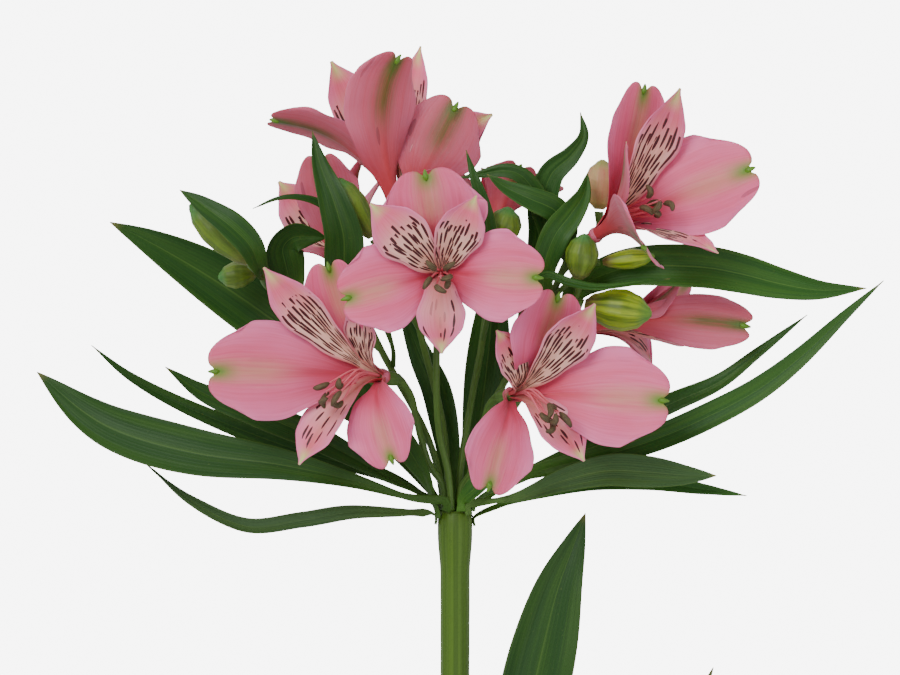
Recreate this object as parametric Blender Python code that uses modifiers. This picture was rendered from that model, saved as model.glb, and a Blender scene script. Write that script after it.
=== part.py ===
"""A cut stem of alstroemeria, lying on its back: one thick stem, a whorl of leaves at its head, and above them
an umbel of rays that carry pink blooms, buds and small leaves. X runs across the head, +Y from the cut end
towards the blooms and +Z up from the surface it lies on."""

import math

import bmesh
import bpy
from mathutils import Quaternion, Vector

MM = 0.001

# All places below are in millimetres from the middle of the whorl of leaves, which lies this high.
SURFACE = -43

STEM_LENGTH = 290
STEM_RADIUS_CUT = 4.2
STEM_RADIUS_TOP = 4.5
WHORL_RADIUS = 5.4

RAY_RADIUS = 1.05
RAY_RING = 3.55
PEDICEL_RADIUS = 0.85
OVARY_LENGTH = 7
OVARY_RADIUS = 2.4
GAP = 0.35

LEAF_THICKNESS = 0.65
TEPAL_THICKNESS = 0.65
TIP_HALF_WIDTH = 0.35

GREEN = (0.07, 0.16, 0.035, 1)
STEM_GREEN = (0.16, 0.27, 0.05, 1)
BUD_GREEN = (0.35, 0.45, 0.06, 1)
PINK = (0.75, 0.25, 0.36, 1)
ANTHER = (0.12, 0.13, 0.1, 1)

# Half widths along a tepal, as shares of its widest place, and where its rows lie
OUTER_OUTLINE = ((0, 0.12), (0.2, 0.2), (0.42, 0.66), (0.62, 0.97), (0.78, 1), (0.91, 0.96), (1, 0.7))
INNER_OUTLINE = ((0, 0.16), (0.2, 0.2), (0.45, 0.66), (0.66, 1), (0.8, 0.88), (0.91, 0.45), (0.96, 0.16), (1, 0.03))
OUTER_PLACES = (0, 0.18, 0.38, 0.57, 0.75, 0.9, 1)
INNER_PLACES = (0, 0.2, 0.4, 0.6, 0.78, 0.91, 1)


def smooth(t):
    t = min(1.0, max(0.0, t))
    return t * t * (3 - 2 * t)


def mix(a, b, t):
    return a + (b - a) * t


def between(stops, t):
    """The value at t of a curve through (place, value) stops."""
    for (t0, v0), (t1, v1) in zip(stops, stops[1:]):
        if t <= t1:
            share = (t - t0) / (t1 - t0)
            return mix(v0, v1, (smooth(share) + share) / 2)
    return stops[-1][1]


def along(dense, places):
    """Points at the given shares of a dense line's length."""
    lengths = [0.0]
    for a, b in zip(dense, dense[1:]):
        lengths.append(lengths[-1] + (b - a).length)
    found, at = [], 0
    for share in places:
        wanted = lengths[-1] * share
        while at < len(dense) - 2 and lengths[at + 1] < wanted:
            at += 1
        step = lengths[at + 1] - lengths[at] or 1
        found.append(dense[at].lerp(dense[at + 1], min(1, (wanted - lengths[at]) / step)))
    return found


def even(count):
    return [k / (count - 1) for k in range(count)]


def spline(points, places):
    """Points on a Catmull-Rom curve through the given ones."""
    knots = [Vector(p) for p in points]
    knots = [knots[0] * 2 - knots[1], *knots, knots[-1] * 2 - knots[-2]]
    dense = []
    for a, b, c, d in zip(knots, knots[1:], knots[2:], knots[3:]):
        for k in range(16):
            t = k / 16
            dense.append(
                0.5 * (2 * b + (c - a) * t + (2 * a - 5 * b + 4 * c - d) * t**2 + (3 * b - a - 3 * c + d) * t**3)
            )
    dense.append(knots[-2])
    return along(dense, places)


def arc(start, control, end, places):
    """Points on a quadratic curve from start to end."""
    return along([start.lerp(control, k / 32).lerp(control.lerp(end, k / 32), k / 32) for k in range(33)], places)


def tangents(line):
    ends = [line[0] * 2 - line[1], *line, line[-1] * 2 - line[-2]]
    return [(b - a).normalized() for a, b in zip(ends, ends[2:])]


def material(name, colour, roughness):
    made = bpy.data.materials.get(name)
    if made is None:
        made = bpy.data.materials.new(name)
        made.use_nodes = True
        shader = made.node_tree.nodes["Principled BSDF"]
        shader.inputs["Base Color"].default_value = colour
        shader.inputs["Roughness"].default_value = roughness
        shader.inputs["Metallic"].default_value = 0
    return made


def placed(name, mesh, finish, collection):
    """An object for a mesh whose points are from the whorl."""
    made = bpy.data.objects.new(name, mesh)
    mesh.materials.clear()
    mesh.materials.append(finish)
    collection.objects.link(made)
    return made


def evaluated_mesh(source):
    """The source's mesh with its modifiers applied, and the source removed."""
    bpy.context.view_layer.update()
    graph = bpy.context.evaluated_depsgraph_get()
    mesh = bpy.data.meshes.new_from_object(source.evaluated_get(graph))
    bpy.data.objects.remove(source)
    return mesh


def largest_body(mesh):
    """Leaves only the mesh's largest connected piece, without the slivers a union can shed."""
    form = bmesh.new()
    form.from_mesh(mesh)
    seen, best = set(), []
    for seed in form.verts:
        if seed.index in seen:
            continue
        reach, body = [seed], []
        seen.add(seed.index)
        while reach:
            vertex = reach.pop()
            body.append(vertex)
            for edge in vertex.link_edges:
                other = edge.other_vert(vertex)
                if other.index not in seen:
                    seen.add(other.index)
                    reach.append(other)
        if len(body) > len(best):
            best = body
    keep = set(best)
    bmesh.ops.delete(form, geom=[v for v in form.verts if v not in keep], context="VERTS")
    form.to_mesh(mesh)
    form.free()


def fused(name, core, others, collection, finish):
    """One body from the core and what is sunk into it."""
    helpers = bpy.data.collections.new(name + "_pieces")
    bpy.context.scene.collection.children.link(helpers)
    for k, mesh in enumerate(others):
        placed(f"{name}_piece_{k}", mesh, finish, helpers)
    made = placed(name, core, finish, collection)
    union = made.modifiers.new("Union", "BOOLEAN")
    union.operation = "UNION"
    union.operand_type = "COLLECTION"
    union.collection = helpers
    union.solver = "MANIFOLD"
    mesh = evaluated_mesh(made)
    for piece in list(helpers.objects):
        bpy.data.objects.remove(piece)
    bpy.data.collections.remove(helpers)
    largest_body(mesh)
    mesh.name = name
    return placed(name, mesh, finish, collection)


def blade_mesh(line, faces, half_widths, cups, thickness, columns, bows=None, edge_wave=None):
    """A thin solid blade. At each place of its line it has a face direction, a half width, a cup (how far its edges
    rise towards that face) and a bow (how far its edges lag behind its middle), both as shares of the half width."""
    rows = len(line)
    mesh = bpy.data.meshes.new("blade")
    form = bmesh.new()
    bmesh.ops.create_grid(form, x_segments=columns, y_segments=rows - 1, size=1)
    ways = tangents(line)
    for vertex in form.verts:
        across = vertex.co.x
        row = round((vertex.co.y + 1) / 2 * (rows - 1))
        side = ways[row].cross(faces[row]).normalized()
        face = side.cross(ways[row]).normalized()
        half = half_widths[row]
        rise = cups[row] * half * across * across
        if edge_wave:
            rise += edge_wave(row / (rows - 1), across)
        place = line[row] + side * (half * across) + face * rise
        if bows:
            place -= ways[row] * (bows[row] * half * across * across)
        place.z = max(place.z, SURFACE + thickness / 2)
        vertex.co = place * MM
    bmesh.ops.triangulate(form, faces=form.faces)
    form.to_mesh(mesh)
    form.free()
    shell = bpy.data.objects.new("blade_shell", mesh)
    bpy.context.scene.collection.objects.link(shell)
    solidify = shell.modifiers.new("Thickness", "SOLIDIFY")
    solidify.thickness = thickness * MM
    solidify.offset = 0
    solid = evaluated_mesh(shell)
    for vertex in solid.vertices:
        if vertex.co.z < (SURFACE + 0.25) * MM:
            vertex.co.z = SURFACE * MM
    return solid


def turned_to_face(places, first, middle, last):
    """Face directions along a line that turn from the first to the last."""
    first, middle, last = Vector(first).normalized(), Vector(middle).normalized(), Vector(last).normalized()
    return [
        first.lerp(middle, smooth(t / 0.4)) if t < 0.4 else middle.lerp(last, smooth((t - 0.4) / 0.6)) for t in places
    ]


def leaf_half_width(t, width, widest, foot_width):
    """A lance-shaped leaf: a narrow foot, its widest place, and a long point."""
    bend = math.log(0.5) / math.log(widest)
    lance = math.sin(math.pi * min(1, t**bend)) ** 0.9
    foot = foot_width / 2 * (1 - smooth(t / 0.3))
    return max(width / 2 * lance, foot, TIP_HALF_WIDTH)


def leaf(name, line, width, faces, collection, widest=0.5, cup=0.25, foot_cup=0.6, foot_width=3, wave=0.0, rows=10, columns=2):
    places = even(rows)
    centres = spline(line, places)
    halves = [leaf_half_width(t, width, widest, foot_width) for t in places]
    cups = [mix(foot_cup, cup, smooth(t / 0.35)) for t in places]

    def edge_wave(t, across):
        return wave * across * across * math.sin(t * 10 + (1.4 if across > 0 else 0)) * smooth(t * 3)

    mesh = blade_mesh(
        centres, turned_to_face(places, *faces), halves, cups, LEAF_THICKNESS, columns, None, edge_wave if wave else None
    )
    return placed(name, mesh, material("leaf", GREEN, 0.45), collection)


def whorl_leaf(name, foot, line, width, face, tip_face=None, drop=0.0, **form):
    """A leaf whose foot clasps the stem at foot degrees round it."""
    radial = Vector((math.cos(math.radians(foot)), 0, math.sin(math.radians(foot))))
    start = radial * (WHORL_RADIUS + GAP + LEAF_THICKNESS / 2 + 0.05) + Vector((0, -drop, 0))
    rise = start + radial * 0.6 + Vector((0, 3.2, 0))
    towards = Vector(face)
    clasping = radial.dot(towards) < 0
    faces = (-radial if clasping else radial, face, tip_face or face)
    return leaf(name, [start, rise, *line], width, faces, foot_cup=0.12 if clasping else -0.12, **form)


def tube_mesh(line, radii, resolution=1):
    """A round tube through points, with closed ends."""
    data = bpy.data.curves.new("tube", "CURVE")
    data.dimensions = "3D"
    data.bevel_depth = MM
    data.bevel_resolution = resolution
    data.use_fill_caps = True
    path = data.splines.new("POLY")
    path.points.add(len(line) - 1)
    for point, place, radius in zip(path.points, line, radii):
        point.co = (*(place * MM), 1)
        point.radius = radius
    holder = bpy.data.objects.new("tube", data)
    bpy.context.scene.collection.objects.link(holder)
    mesh = evaluated_mesh(holder)
    bpy.data.curves.remove(data)
    form = bmesh.new()
    form.from_mesh(mesh)
    bmesh.ops.remove_doubles(form, verts=form.verts, dist=0.00001)
    bmesh.ops.recalc_face_normals(form, faces=form.faces)
    form.to_mesh(mesh)
    form.free()
    return mesh


def ray_line(ring, through, seat, axis, count=8):
    """A ray's centres: from its place in the ring on the stem's top, through points, to the seat under its bloom,
    which it meets along the axis."""
    angle = math.radians(ring)
    start = Vector((math.cos(angle) * RAY_RING, GAP, math.sin(angle) * RAY_RING))
    second = start + Vector((math.cos(angle) * 0.5, 7, math.sin(angle) * 0.5))
    neck = seat - axis * (OVARY_LENGTH + 3)
    return spline([start, second, *through, neck, seat], even(count))


def stalk_mesh(line, axis, foot_radius, neck_radius, swelling=1.0):
    """A stalk that ends in an ovary."""
    seat = line[-1]
    long = OVARY_LENGTH * swelling
    kept = [p for p in line if (p - seat).length > long + 1]
    radii = [mix(foot_radius, neck_radius, k / len(kept)) for k in range(len(kept))]
    for share, radius in ((0.0, 0.5), (0.3, 0.85), (0.7, 1.0), (1.0, 0.88)):
        kept.append(seat - axis * long * (1 - share))
        radii.append(OVARY_RADIUS * swelling * radius)
    return tube_mesh(kept, radii, 1)


def tepal_mesh(base, axis, tip, width, inner=False, roll=0, face=None, reach=15, cup=None, lift=0, bend=(0, 0, 0), columns=4):
    """A tepal from the bloom's base to its tip, which leaves along the axis for reach millimetres and bends over, drawn
    aside by bend."""
    base, tip = Vector(base), Vector(tip)
    away = tip - base
    away = (away - axis * away.dot(axis)).normalized()
    foot = base + away * (1.25 if inner else 1.95) + axis * 0.8
    places = INNER_PLACES if inner else OUTER_PLACES
    line = arc(foot, foot + axis * reach + away * lift + Vector(bend), tip, places)
    hinge = away.cross(axis)
    faces = []
    for t, way in zip(places, tangents(line)):
        plain = Quaternion(way, math.radians(roll) * smooth(t / 0.6)) @ hinge.cross(way)
        faces.append(plain.lerp(Vector(face).normalized(), smooth(t / 0.6)) if face else plain)
    outline = INNER_OUTLINE if inner else OUTER_OUTLINE
    halves = [max(width / 2 * between(outline, t), TIP_HALF_WIDTH) for t in places]
    if cup is None:
        cup = 0.2 if inner else 0.12
    cups = [mix(0.8, cup, smooth(t / 0.55)) for t in places]
    bows = [(0.2 if inner else 0.6) * t**3 for t in places]
    return blade_mesh(line, faces, halves, cups, TEPAL_THICKNESS, 2 if inner else columns, bows)


def stamens_mesh(name, base, axis, droop, opening, collection):
    """Six stamens and a style, which leave a short column in the bloom's tube, spread and droop a little."""
    base = Vector(base)
    right = axis.orthogonal().normalized()
    front = axis.cross(right)
    column = tube_mesh([base + axis * 2.85, base + axis * 6, base + axis * 10.5], [0.55, 0.6, 0.65], 0)
    threads = []
    for k in range(7):
        angle = math.radians(60 * k + 20)
        spread = (right * math.cos(angle) + front * math.sin(angle)) * (0 if k == 6 else opening)
        long = (23, 26, 24, 27.5, 22.5, 25.5, 28)[k]
        end = base + axis * long + Vector(droop) + spread * 3.6
        line = spline([base + axis * 9 + spread * 0.2, base + axis * 15 + Vector(droop) * 0.2 + spread * 1.6, end], even(3))
        way = (line[-1] - line[-2]).normalized()
        if k == 6:
            threads.append(tube_mesh([*line, end + way * 1.2], [0.35, 0.35, 0.4, 0.75], 0))
            continue
        anther = [end + way * 1.2, end + way * 3.2, end + way * 4.2]
        threads.append(tube_mesh([*line, *anther], [0.35, 0.35, 0.5, 0.95, 0.9, 0.4], 0))
    fused(f"stamens_{name}", column, threads, collection, material("anther", ANTHER, 0.7))


# Each bloom: its base, the way it faces, the place of its ray in the ring, what the ray runs through, and its
# tepals, each with a tip and a width. Three are outer and broad, three inner and pointed.
BLOOMS = {
    "centre": {
        "base": (-4.3, 71.5, 27),
        "axis": (0.0, 0.02, 1),
        "ring": 105,
        "droop": (0, -1.5, 0),
        "through": ((-5, 26, 9), (-5.5, 52, 13)),
        "tepals": (
            {"tip": (-9, 101.8, 43), "width": 34, "reach": 18},
            {"tip": (25.8, 70, 46), "width": 28, "reach": 18},
            {"tip": (-33.5, 63.6, 46), "width": 27, "reach": 18},
            {"tip": (-25.2, 92.1, 50), "width": 17, "inner": True, "reach": 20, "roll": -12},
            {"tip": (6.3, 94.5, 50), "width": 15, "inner": True, "reach": 20, "roll": 14},
            {"tip": (-4, 47.5, 45), "width": 15, "inner": True, "reach": 19},
        ),
    },
    "left": {
        "base": (-21, 40.5, 19),
        "axis": (-0.6, 0.15, 0.79),
        "ring": 150,
        "droop": (0, -7, 0),
        "through": ((-8.5, 16, 4),),
        "tepals": (
            {"tip": (-73.2, 42.2, 33), "width": 31, "reach": 14},
            {"tip": (-38, 74.5, 33), "width": 27, "reach": 15},
            {"tip": (-18.5, 14.8, 36), "width": 22.5, "reach": 15, "bend": (3, -3, 4), "face": (-0.4, 0.1, 0.85)},
            {"tip": (-57, 73.2, 38), "width": 15, "inner": True, "reach": 16},
            {"tip": (-27, 64, 36), "width": 13, "inner": True, "reach": 15},
            {"tip": (-46.5, 14.4, 36), "width": 15, "inner": True, "reach": 16},
        ),
    },
    "right": {
        "base": (16, 35, 19),
        "axis": (0.5, 0.12, 0.86),
        "ring": 60,
        "droop": (0, -7, 0),
        "through": ((6, 14, 5),),
        "tepals": (
            {"tip": (63.4, 33.4, 33), "width": 31, "reach": 14},
            {"tip": (31, 65.5, 34), "width": 26, "reach": 15},
            {"tip": (9.8, 6.8, 37), "width": 22.5, "reach": 15, "bend": (-6, -3, 4), "face": (0.4, 0.1, 0.85)},
            {"tip": (12.3, 54.5, 37), "width": 14, "inner": True, "reach": 16},
            {"tip": (41.7, 62.4, 38), "width": 15.5, "inner": True, "reach": 16},
            {"tip": (38.5, 15.5, 36), "width": 15.5, "inner": True, "reach": 15},
        ),
    },
    "upper_right": {
        "base": (41.5, 82.5, 8),
        "axis": (0.64, 0.5, 0.58),
        "ring": 15,
        "droop": (1, -3, 4),
        "through": ((9, 28, 3), (24, 54, 3)),
        "tepals": (
            {"tip": (57, 128, 14), "width": 25, "reach": 15},
            {"tip": (89.6, 103.2, 18), "width": 33, "reach": 16},
            {"tip": (56.5, 78.5, 43), "width": 28, "reach": 16, "face": (0.78, 0.64, -0.3)},
            {"tip": (67.4, 127, 22), "width": 17, "inner": True, "reach": 17},
            {"tip": (78.6, 77.5, 30), "width": 13, "inner": True, "reach": 17},
            {"tip": (51, 110.5, 40), "width": 14, "inner": True, "reach": 17},
        ),
    },
    "top": {
        "base": (-17, 88, -4),
        "axis": (-0.17, 0.98, -0.06),
        "ring": 240,
        "droop": (0, 0, 0.5),
        "opening": 0.3,
        "through": ((-4, 28, -5), (-11, 56, -6)),
        "tepals": (
            {"tip": (-16.5, 137, 10), "width": 25, "reach": 32, "bend": (-6, 2, 7)},
            {"tip": (-55.5, 118, 0), "width": 22, "reach": 26, "bend": (-2, 1, 0), "face": (0.55, 0.72, -0.42)},
            {"tip": (0.8, 123.2, -7), "width": 28, "reach": 11, "lift": 6, "face": (0.1, 0.2, -1)},
            {"tip": (-37.5, 136, -11), "width": 18, "inner": True, "reach": 18, "face": (0.5, -0.1, 0.85)},
            {"tip": (-10.4, 140.6, -13), "width": 10, "inner": True, "reach": 14, "face": (0, -0.3, 1)},
            {"tip": (11.4, 120, -17), "width": 15, "inner": True, "reach": 16, "face": (-0.3, -0.3, 1)},
        ),
    },
    "back_left": {
        "base": (-31, 68, -9),
        "axis": (-0.35, 0.85, -0.38),
        "ring": 195,
        "droop": (0, 0, -2),
        "through": ((-9, 24, -3), (-21, 46, -6)),
        "tepals": (
            {"tip": (-41, 107, -4), "width": 20, "reach": 14, "face": (0.2, 0.3, -1)},
            {"tip": (-49, 84, -47), "width": 22, "reach": 15},
            {"tip": (-20, 104, -38), "width": 24, "reach": 15},
            {"tip": (-53.4, 99.6, -12), "width": 16, "inner": True, "reach": 14, "face": (0.3, -0.3, 0.9)},
            {"tip": (-28, 108, -22), "width": 14, "inner": True, "reach": 16},
            {"tip": (-33, 90, -42), "width": 14, "inner": True, "reach": 16},
        ),
    },
    "right_back": {
        "base": (40, 55, -8),
        "axis": (0.97, 0.05, -0.2),
        "ring": 330,
        "droop": (0, 0, -3),
        "opening": 0.5,
        "through": ((9, 18, -3), (22, 38, -6)),
        "tepals": (
            {"tip": (88.8, 55.6, -2), "width": 17, "reach": 18, "lift": 2, "bend": (0, 5, 0), "face": (0.1, -0.2, -1)},
            {"tip": (72, 70, -30), "width": 24, "reach": 18},
            {"tip": (61, 38, -47), "width": 22, "reach": 17},
            {"tip": (68.5, 70, -8), "width": 12, "inner": True, "reach": 18},
            {"tip": (79, 56, -37), "width": 13, "inner": True, "reach": 18},
            {"tip": (60, 44, -28), "width": 13, "inner": True, "reach": 16},
        ),
    },
    "top_back": {
        "base": (12, 84, -18),
        "axis": (0.18, 0.78, -0.6),
        "ring": 285,
        "open": False,
        "through": ((4, 28, -7), (9, 56, -12)),
        "tepals": (
            {"tip": (20, 104.5, -12), "width": 18, "reach": 12, "columns": 2},
            {"tip": (30, 96, -46), "width": 20, "reach": 14, "columns": 2},
            {"tip": (2, 98, -41), "width": 20, "reach": 14, "columns": 2},
            {"tip": (28, 100, -26), "width": 12, "inner": True, "reach": 14},
            {"tip": (8, 104, -28), "width": 12, "inner": True, "reach": 14},
            {"tip": (16, 94, -42), "width": 12, "inner": True, "reach": 14},
        ),
    },
}


def bloom_parts(name, facts, collection):
    base, axis = Vector(facts["base"]), Vector(facts["axis"]).normalized()
    pink = material("tepal", PINK, 0.5)
    meshes = [tepal_mesh(base, axis, **tepal) for tepal in facts["tepals"]]
    seat = tube_mesh([base, base + axis * 1.2, base + axis * 2.4], [2.1, 2.5, 2.2], 1)
    fused(f"tepals_{name}", seat, meshes, collection, pink)
    if facts.get("open", True):
        stamens_mesh(name, base, axis, facts["droop"], facts.get("opening", 1), collection)
    green = material("stem", STEM_GREEN, 0.5)
    line = bloom_ray_line(facts)
    mesh = stalk_mesh(line, axis, RAY_RADIUS, RAY_RADIUS)
    stalks = [bud_stalk_mesh(line, bud) for bud in BUDS.values() if bud["ray"] == name]
    if stalks:
        fused(f"ray_{name}", mesh, stalks, collection, green)
    else:
        placed(f"ray_{name}", mesh, green, collection)


def bloom_ray_line(facts):
    axis = Vector(facts["axis"]).normalized()
    return ray_line(facts["ring"], facts["through"], Vector(facts["base"]) - axis * GAP, axis, 8)


def bud_stalk_mesh(ray, bud):
    """A bud's stalk, from inside its ray to the foot of the bud."""
    base, axis = Vector(bud["base"]), (Vector(bud["tip"]) - Vector(bud["base"])).normalized()
    start = spline(ray, [bud["share"]])[0]
    seat = base - axis * GAP * 2
    line = spline([start, *bud["through"], seat - axis * 5, seat], even(6))
    radii = [PEDICEL_RADIUS] * 4 + [PEDICEL_RADIUS * 1.3, bud["width"] * 0.14]
    return tube_mesh(line, radii, 1)


def bract(name, line, face, collection, ray=None, share=0.8, **form):
    """A small leaf, whose foot is beside its ray."""
    line = [Vector(p) for p in line]
    if ray:
        start = spline(bloom_ray_line(BLOOMS[ray]), [share])[0]
        start += (line[0] - start).normalized() * (RAY_RADIUS + 1.1)
        line = [start, *line]
    leaf(name, line, faces=(face, face, face), collection=collection, foot_width=1.5, **{"rows": 9, **form})


# Each leaf of the whorl: the degrees round the stem of its foot, its line to the tip, its width and its face
WHORL_LEAVES = {
    "left_long": {
        "foot": 118,
        "line": ((-14, 4.4, 10), (-31.5, 9.6, 14), (-52.5, 14.2, 15), (-76.5, 17.4, 14), (-97.5, 22.8, 12), (-111, 29.6, 10), (-125.7, 42, 8)),
        "width": 15,
        "face": (0, 0.25, 1),
        "widest": 0.67,
        "rows": 13,
    },
    "left_thin": {
        "foot": 222,
        "line": ((-20, 10, -12), (-50, 19, -16), (-79.5, 30.3, -16), (-97.5, 39.8, -14), (-110, 50, -11)),
        "width": 6.5,
        "face": (0, 0.5, 1),
        "drop": 2,
    },
    "left_middle": {
        "foot": 196,
        "line": ((-20, 10, -3), (-39, 20.5, -2), (-59, 29.2, -1), (-75.5, 35.4, 0), (-87.3, 43.5, 2)),
        "width": 9,
        "face": (0, 0.3, 1),
        "widest": 0.6,
    },
    "left_low": {
        "foot": 168,
        "line": ((-17, -0.4, 3), (-31.5, -0.4, 3), (-46.5, -2.8, 3), (-63, -4.6, 3), (-79.5, 3.2, 3), (-93.6, 14.7, 3)),
        "width": 5.6,
        "face": (0.1, 0.5, 1),
        "tip_face": (0.5, 0.6, 0.8),
        "drop": 4,
        "rows": 11,
    },
    "left_high": {
        "foot": 248,
        "line": ((-14, 15, -13), (-28, 32, -17), (-45, 49.5, -20), (-60, 61, -21), (-76.5, 72, -20), (-92, 81, -17), (-104.5, 87.3, -14)),
        "width": 18.5,
        "face": (0, 0.1, 1),
        "drop": 4.5,
        "rows": 11,
        "widest": 0.6,
    },
    "left_inner": {
        "foot": 150,
        "line": ((-10, 12, 6), (-17, 22, 5), (-30, 31, 2), (-46, 35, 2), (-60, 37.5, 3)),
        "width": 9,
        "face": (-0.1, -0.1, 1),
        "drop": 2.2,
    },
    "upright_left": {
        "foot": 262,
        "line": ((-2, 18, -11), (-5.2, 35, -14), (-10, 46, -16), (-14, 56, -17), (-17, 65.5, -17)),
        "width": 9,
        "face": (0, 0, 1),
        "drop": 0.5,
    },
    "upright_right": {
        "foot": 298,
        "line": ((6, 18, -12), (9, 38, -15), (11, 58, -17), (11, 76, -17)),
        "width": 13,
        "face": (0, 0, 1),
        "widest": 0.6,
        "drop": 4.5,
    },
    "right_long": {
        "foot": 14,
        "line": ((18, 10, 2), (31.5, 13.8, 3), (43.5, 16.5, 4), (60, 21.6, 5), (75, 28, 5), (90.4, 36.2, 4), (103.5, 46, 3), (118, 59.5, 2), (129.2, 69.5, 1)),
        "width": 8,
        "face": (0.1, 0.2, 1),
        "rows": 12,
    },
    "right_thin": {
        "foot": 322,
        "line": ((20, 10, -9), (42, 20, -12), (63, 31.2, -12), (79.5, 38.6, -11), (92, 48, -10), (106.5, 59.2, -8)),
        "width": 6.4,
        "face": (0, 0.3, 1),
        "drop": 2,
    },
    "right_broad": {
        "foot": 44,
        "line": ((18, 4.2, 7), (31.5, 9, 9), (45, 12.3, 10), (57, 12, 10), (69, 11, 9), (78.6, 10.8, 8)),
        "width": 10,
        "face": (0, 0.1, 1),
        "widest": 0.66,
        "drop": 1,
    },
    "right_low": {
        "foot": 350,
        "line": ((20, 3.6, -2), (40, 8.2, -3), (58, 8.8, -3), (74, 6.7, -3), (88, 4.6, -2)),
        "width": 5.4,
        "face": (0, 0.2, 1),
        "widest": 0.6,
        "drop": 4.5,
    },
    "curled": {
        "foot": 72,
        "line": ((5, 6, 9), (9, 9.5, 10), (12.5, 9, 11), (13, 5.5, 12)),
        "width": 6,
        "face": (-0.3, 0.3, 1),
        "drop": 0,
        "rows": 8,
    },
}

# Leaves lower on the stem: where on the stem their foot lies, towards which side, and their form
STEM_LEAVES = {
    "stem_leaf_right": {
        "height": -112,
        "towards": (0.75, 0, 0.66),
        "line": ((14, -86, -4), (21.5, -62, 1), (26.3, -42, 3), (30.8, -24, 3), (36, -9.6, 2), (39.3, -0.6, 1)),
        "width": 21,
        "face": (0.1, 0, 1),
        "widest": 0.55,
        "rows": 12,
    },
    "stem_leaf_right_low": {
        "height": -176,
        "towards": (0.9, 0, -0.4),
        "line": ((18, -160, -28), (38, -130, -27), (57, -95, -26), (70, -68, -26), (78.6, -48, -27)),
        "width": 16,
        "face": (-0.1, 0, 1),
        "rows": 11,
    },
    "stem_leaf_left_low": {
        "height": -204,
        "towards": (-0.9, 0, -0.2),
        "line": ((-20, -184, -31), (-40, -158, -34), (-58, -128, -38), (-70, -98, -40)),
        "width": 15,
        "face": (0.1, 0, 1),
        "rows": 11,
    },
}

# Small leaves among the rays: the ray they stand on, the share of it below them, and their form
BRACTS = {
    "bract_left_upright": {
        "ray": "back_left",
        "share": 0.8,
        "line": ((-30, 66, 3), (-33, 73, 10), (-33.5, 83, 13), (-36.5, 93.5, 13), (-40.5, 104.5, 11), (-42.9, 114.3, 9)),
        "width": 12,
        "face": (0, 0, 1),
        "widest": 0.4,
    },
    "bract_left_thin": {
        "ray": "back_left",
        "share": 0.6,
        "line": ((-19, 50, -1), (-24, 64, 0), (-28, 76, 0.5), (-33, 86, 1), (-39.5, 92, 2), (-46, 94.4, 3), (-53, 94.3, 4), (-60.9, 91.2, 4)),
        "width": 3.6,
        "face": (0, 0.5, 1),
    },
    "bract_left_hood": {
        "line": ((-48.8, 61.5, 3.6), (-49.4, 67.5, 6.2), (-50.8, 73.5, 9.3), (-51.8, 79, 11.2), (-49, 82.3, 12), (-44, 82.8, 11), (-38.5, 82.3, 10)),
        "width": 12,
        "face": (0.5, -0.3, 1),
    },
    "bract_over_bud_left": {
        "line": ((-58.2, 69.9, 10.2), (-58.4, 71, 14.5), (-59, 74.2, 19), (-61.5, 80, 22.5), (-67.5, 86, 23), (-75, 91.5, 21), (-82.5, 96.6, 18)),
        "width": 9,
        "face": (0.2, 0.4, 1),
    },
    "bract_top_arch": {
        "ray": "upper_right",
        "share": 0.74,
        "line": ((28, 68, -1.5), (28.5, 78, -2), (27.5, 85, 0), (26, 90, 2), (24, 96, 3), (20, 101, 4), (15, 102.6, 4), (8, 101.6, 3), (1, 100.4, 2)),
        "width": 6,
        "face": (0, 0.3, 1),
    },
    "bract_top_thin": {
        "ray": "top_back",
        "share": 0.75,
        "line": ((8, 70, 2), (9.5, 80, 14), (9.4, 87, 18), (7.8, 94, 20), (5.5, 101, 20), (3.3, 108.6, 18)),
        "width": 5.6,
        "face": (0.2, 0, 1),
    },
    "bract_dark": {
        "ray": "upper_right",
        "share": 0.86,
        "line": ((33, 79, 10), (33.5, 85, 9), (30, 90.5, 10), (22.5, 94, 11), (15, 97.6, 10), (9.6, 101.4, 9)),
        "width": 8,
        "face": (0, 0.3, 1),
    },
    "bract_wavy": {
        "ray": "upper_right",
        "share": 0.66,
        "line": ((22.5, 62, -4), (25, 74, -6), (26.5, 84, -4), (26.5, 93, -2), (29, 101.5, -1), (35, 107.2, 0), (38.8, 113.2, 0), (37.8, 120.3, -1)),
        "width": 9,
        "face": (0, 0, 1),
    },
    "bract_right_clasping": {
        "ray": "upper_right",
        "share": 0.7,
        "line": ((26.5, 67.5, 9), (27, 75, 12), (30, 83, 14), (34.5, 89, 13), (38.4, 95, 11), (39.9, 102, 8)),
        "width": 9,
        "face": (0.3, 0.2, 1),
    },
    "bract_right_thin": {
        "ray": "upper_right",
        "share": 0.55,
        "line": ((19, 55, 9), (22, 66, 14), (27, 71, 18), (34.5, 68.8, 21), (43.5, 67.4, 21), (55.5, 68.8, 19), (64.5, 70, 16)),
        "width": 3,
        "face": (0, 0.7, 1),
    },
    "bract_right_broad": {
        "ray": "right_back",
        "share": 0.8,
        "line": ((33, 56, -2), (36, 66, 0), (44, 71, 2), (55.5, 73.8, 4), (73.5, 73.6, 6), (85.5, 71.6, 6), (97.5, 68.6, 5), (110, 66.6, 4), (124, 67.2, 2)),
        "width": 13,
        "face": (0, 0.1, 1),
        "rows": 12,
    },
}

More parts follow.
